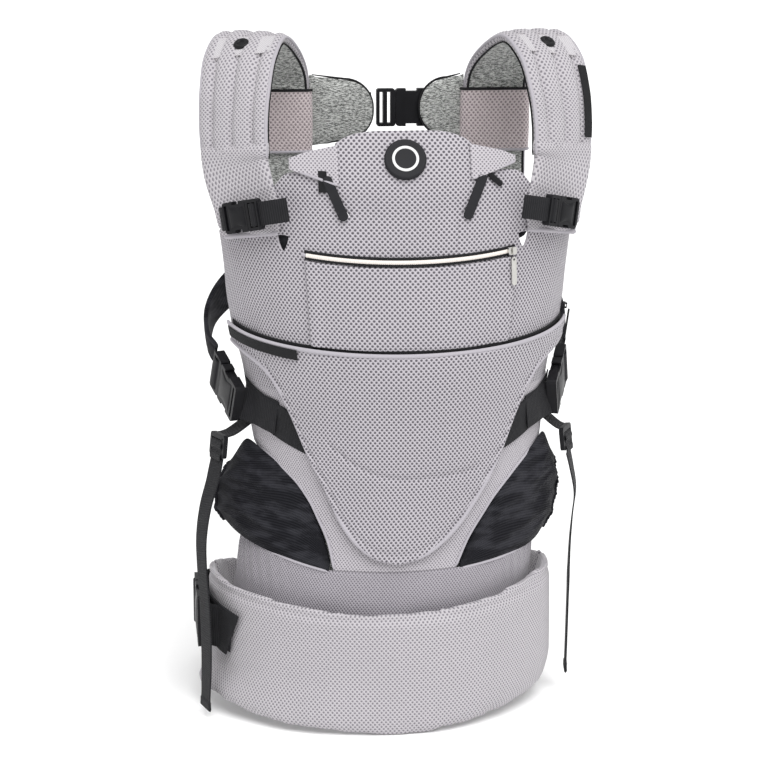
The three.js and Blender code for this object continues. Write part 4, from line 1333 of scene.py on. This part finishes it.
def fit_outline(pad, outline, side):
    """Stretches a simulated pad back to its rim, and a little way under its sleeve."""
    wanted = np.array([outline.min(0), outline.max(0)])
    wanted[1 if side > 0 else 0, 0] += side * PAD_TUCK

    def stretch(points):
        found = np.array([points.min(0), points.max(0)])
        share = (points - found[0]) / (found[1] - found[0])
        fitted = mix(wanted[0], wanted[1], share)
        return np.stack([fitted[:, 0], points[:, 1], fitted[:, 2]], axis=-1)

    reshape(pad, stretch)


def add_cross_pads():
    for name in PADS:
        body = f"sleeve_{name}_body"
        node = f"cross_pad_{name}"
        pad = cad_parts[node].copy()
        pad.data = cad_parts[node].data.copy()
        pad.name = f"{node}_cover"
        for key in [key for key in pad.keys() if key.startswith("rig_")]:
            del pad[key]
        pad.parent = None
        bpy.context.scene.collection.objects.link(pad)
        middle = np.array([0, STRAP_BACK_Y, 0])
        reshape(pad, lambda points: middle + (points - middle) * (1.0, 0.6, 1.0))
        inflate(pad, voxel=3.5, cap=4)
        fit_outline(pad, pad_outline(name), PADS[name][0])
        dress(pad, HEATHER, body, [node])
        cordage(f"cross_pad_rim_{name}", pad_outline(name), 1.3, BINDING, body,
                normals=np.tile([0.0, 1.0, 0.0], (len(pad_outline(name)), 1)))
    back = STRAP_BACK_Y + 10
    flat = [(0, 0, 1)] * 3
    plug_end, socket_end = [(x, back, 579) for x in (-16, -33, -50)], [(44, back, 579), (60, back, 579)]
    ribbon("chest_webbing_left", (plug_end, flat), 34, WEB_THICK, WEBBING, "chest_plug")
    ribbon("chest_webbing_right", (socket_end + [(82, back - 2, 579)], flat), 34, WEB_THICK, WEBBING,
           "sleeve_right_body")


# ---- webbing on the body and belt -----------------------------------------------------------------
PATCH_HEIGHT = 54                           # of the webbing patch sewn to the belt


def add_waist_webbing():
    line_points = [(-217.5, 46, 32), (-214, 60, 31), (-201, 77, 30), (-176, 97, 28)]
    for theta in (-134, -150, -166, -182, -198, -212):
        line_points.append(tuple(belt_point(theta, mix(26, 14, (-theta - 134) / 78), 4.5)))
    ribbon("waist_webbing", (line_points, [(0, 0, 1)] * 10), WAIST_WEB, WEB_THICK, WEBBING, "waist_plug")

    def low(theta):
        return mix(-4, 12, (-theta - 55) / 29)

    body_layer("waist_patch", -84, lambda v: mix(-63, -55, v), low, above(low, PATCH_HEIGHT), 5.0, 7.4, WEBBING,
               surface=belt_point, spacing=2.5, cloth=lambda t, z: (z, np.radians(t) * BELT_RADIUS))
    theta = np.linspace(-80, -62, 20)
    for edge, height in (("low", low(theta) + 3.5), ("high", low(theta) + PATCH_HEIGHT - 3.5)):
        points, normals = on_body(theta, height, 7.6, belt_point)
        stitches(f"waist_patch_stitch_{edge}", points, normals, DARK_THREAD)
    ends = [(-217, -36, 32), (-215, -46, 32), (-208, -56, 31), tuple(belt_point(-66, 30, 5.4)),
            tuple(belt_point(-60, 28, 4.8))]
    ribbon("waist_socket_webbing", (ends, [(0, 0, 1)] * 5), WAIST_WEB - 2, WEB_THICK, WEBBING)


BUCKLE_SEATS = {
    "shoulder_left": ((-162, -90, 489), (-0.74, 0.66, -0.2), (-0.67, -0.74, 0), 25, 9),
    "shoulder_right": ((162, -90, 489), (0.74, 0.66, -0.2), (0.67, -0.74, 0), 25, 9),
    "side_left": ((-189, -8, 296), (0.3, -0.86, -0.42), (-0.95, -0.3, 0), 38, 11),
    "side_right": ((182, -8, 296), (-0.3, -0.86, -0.42), (0.95, -0.3, 0), 38, 11),
    "waist": ((-218, 12, 32), (0.02, -1, 0), (-1, 0, 0), 50, 12),
    "chest": ((11, 108, 579), (1, 0, 0), (0, 1, 0), 34, 11),
}
BUCKLE_BODIES = {
    "shoulder_left": ("carrier", "shoulder_plug_left"),
    "shoulder_right": ("carrier", "shoulder_plug_right"),
    "side_left": ("side_socket_left", "carrier"),
    "side_right": ("side_socket_right", "carrier"),
    "waist": ("carrier", "waist_plug"),
    "chest": ("sleeve_right_body", "chest_plug"),
}


def buckle_frame(name):
    """A buckle's middle, its course from plug to socket, the way across its webbing, its outward normal,
    its webbing's width and its thickness."""
    at, along, out, web, thick = BUCKLE_SEATS[name]
    along = unit(np.array(along, float))
    out = np.array(out, float)
    out = unit(out - along * (out @ along))
    return np.array(at, float), along, np.cross(out, along), out, web, thick


def add_buckle_details():
    """On each buckle: a domed thumb plate on the socket and the webbing looped over the plug's bar."""
    for name, (socket_body, plug_body) in BUCKLE_BODIES.items():
        at, along, across, out, web, thick = buckle_frame(name)
        start, end = web * 0.1, web * 0.92

        def dome(u, v, lift):
            run = mix(start, end, u)
            wide = (v - 0.5) * (web - 2) * (1 - 0.22 * hump(u, 0.5, 0.28))
            rise = 1.3 * np.sin(math.pi * np.clip(u, 0.02, 0.98)) ** 0.5 * (1 - (2 * v - 1) ** 4)
            height = thick / 2 + lift + rise - 0.5
            return at + along * run[..., None] + across * wide[..., None] + out * height[..., None]

        shell(f"{name}_buckle_thumb_plate", dome, (end - start, web), 1.6, PLASTIC, lambda u, v: (u, v),
              socket_body, spacing=2)
        if name == "chest":
            continue
        base = web * 0.62
        foot, shoulder = 1 - thick / 2, thick / 2 - 0.5
        bar = [(0.30, foot), (0.34, shoulder), (0.54, thick / 2 + 1.2), (0.74, shoulder), (0.78, foot)]
        points = [at - along * base * back + out * lift for back, lift in bar]
        ribbon(f"{name}_buckle_web_loop", (points, [across] * 5), web - 1, 1.4, WEBBING, plug_body, spacing=2)


def add_side_straps():
    """Webbing from each strap end to its side buckle, and from the buckle forward under the overlay."""
    for side, name in SIDES:
        at, along, across, out, web, _ = buckle_frame(f"side_{name}")
        ends, ways = mirrored(side, strap_end_line(side))
        end, way = np.array(ends[-1], float), np.array(ways[-1])
        turned_way = across * np.sign(across @ way)
        slot = at - along * web * 0.46 + out * 1.0
        points = [end + (0, 6, 4), end, mix(end, slot, 0.6) + out * 2, slot]
        ribbon(f"side_strap_back_{name}", (points, [way, way, mix(way, turned_way, 0.6), turned_way]), SIDE_WEB,
               WEB_THICK, WEBBING)
        slot = at + along * web * 1.06
        points = [slot]
        for theta, lift in ((70, 7), (62, 4), (54, 3.2)):
            points.append(body_point(side * theta, 271 + 0.45 * (theta - 60), lift))
        ways = [across * np.sign(across[2])] + [(0, 0, 1)] * 3
        strap = ribbon(f"side_strap_front_{name}", (points, ways), SIDE_WEB, WEB_THICK, WEBBING, None)
        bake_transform(strap)


def add_shoulder_webbing():
    for side, name in SIDES:
        at, along, across, out, web, _ = buckle_frame(f"shoulder_{name}")
        steps = [(12, 1.5), (20, 1.0), (30, -1), (39, -4), (47, -8)]
        points = [at - along * back + out * lift for back, lift in steps]
        ribbon(f"shoulder_webbing_{name}", (points, [across] * 5), THIN_WEB, WEB_THICK, WEBBING,
               f"shoulder_plug_{name}")
        steps = [(26, 0.5), (33, 0), (41, -3), (46, -9)]
        points = [at + along * ahead + out * lift for ahead, lift in steps]
        ribbon(f"shoulder_anchor_{name}", (points, [across] * 4), THIN_WEB, WEB_THICK, WEBBING)


def add_leg_webbing():
    seats = {"left": ((-196, -30, 228), (-0.1, -0.05, -1), (-0.9, -0.42, 0.05)),
             "right": ((187, -30, 228), (0.1, -0.05, -1), (0.9, -0.42, 0.05))}
    for side, name in SIDES:
        at, along, out = (np.array(p, float) for p in seats[name])
        along, across = unit(along), unit(np.cross(out, along))
        root = body_point(side * 80, 256, 1.0)
        points = [root, mix(root, at, 0.5) + out * 4, at - along * 9 + out * 1.0, at - along * 5 - out * 2]
        ribbon(f"leg_strap_{name}", (points, [across] * 4), THIN_WEB, WEB_THICK, WEBBING)
        bar = [(-6.5, -3), (-5.6, 1.5), (0, 4.0), (5.6, 1.5), (10, 3.6), (16, 3.2)]
        points = [at + along * run + out * lift for run, lift in bar]
        ribbon(f"leg_adjuster_loop_{name}", (points, [across] * 6), THIN_WEB - 0.6, 1.4, WEBBING,
               f"leg_adjuster_{name}_body", spacing=1.8)


# ---- head support trim and badge ------------------------------------------------------------------
def add_badge():
    """A generic round badge: a dark disc with one plain light ring."""
    z = 547
    points, normals = on_body([0.0], [z], 3.4)
    up = unit(body_point(0.0, z + 4.0, 1.6) - body_point(0.0, z - 4.0, 1.6))
    normal = np.cross((1.0, 0.0, 0.0), up)
    seat = points[0] + normal * 1.5
    disc = [(0, 2.0), (18.5, 2.0), (20.4, 2.5), (21.6, 1.9), (22, 0.8), (22, -3), (0, -3)]
    turned("badge_disc", disc, seat, normal, RUBBER, "head_support", sides=72, replaces=["headrest_badge"])
    ring = [(11.2, 1.6), (11.2, 2.5), (11.8, 2.8), (13.4, 2.8), (14, 2.5), (14, 1.6), (11.2, 1.6)]
    turned("badge_ring", ring, seat, normal, PRINT_WHITE, "head_support", sides=72)


def add_tabs():
    """Small black pull tabs under the ear flaps."""
    body_layer("tab_left", -26.6, -23.6, 514, 536, 1.2, 3.4, BINDING, body="head_support", spacing=1.5)
    theta = [23.5, 25.0, 27.6, 30.4]
    points, normals = on_body(theta, [545, 536, 526, 519], 3.0)
    line = [curve(points)(share) for share in np.linspace(0, 1, 24)]
    cordage("tab_right", line, 3.2, BINDING, "head_support", squeeze=0.35,
            normals=np.tile(normals[1], (len(line), 1)))


# ---- hardware of the frame ------------------------------------------------------------------------
def finish_node(name, material, bevel):
    """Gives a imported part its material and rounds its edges."""
    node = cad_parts[name]
    node.data.materials.clear()
    node.data.materials.append(material)
    edges = node.modifiers.new("edges", "BEVEL")
    edges.width = bevel * MM
    edges.segments = 3
    edges.limit_method = "ANGLE"
    edges.angle_limit = math.radians(35)
    edges.harden_normals = True


def add_hardware():
    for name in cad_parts:
        if "_buckle_" in name or name.startswith("leg_adjuster_"):
            finish_node(name, PLASTIC, 0.7)
    for part in ("slider", "pull"):
        finish_node(f"overlay_zip_{part}", PLASTIC, 0.4)
        finish_node(f"pocket_zip_{part}", METAL, 0.3)
    for _, name in SIDES:
        finish_node(f"trim_strip_{name}", RUBBER, 0.8)


add_shoulder_straps()
add_yokes()
add_strap_ends()
add_sleeves()
add_cross_pads()
add_waist_webbing()
add_side_straps()
add_shoulder_webbing()
add_leg_webbing()
add_buckle_details()
add_badge()
add_tabs()
add_hardware()
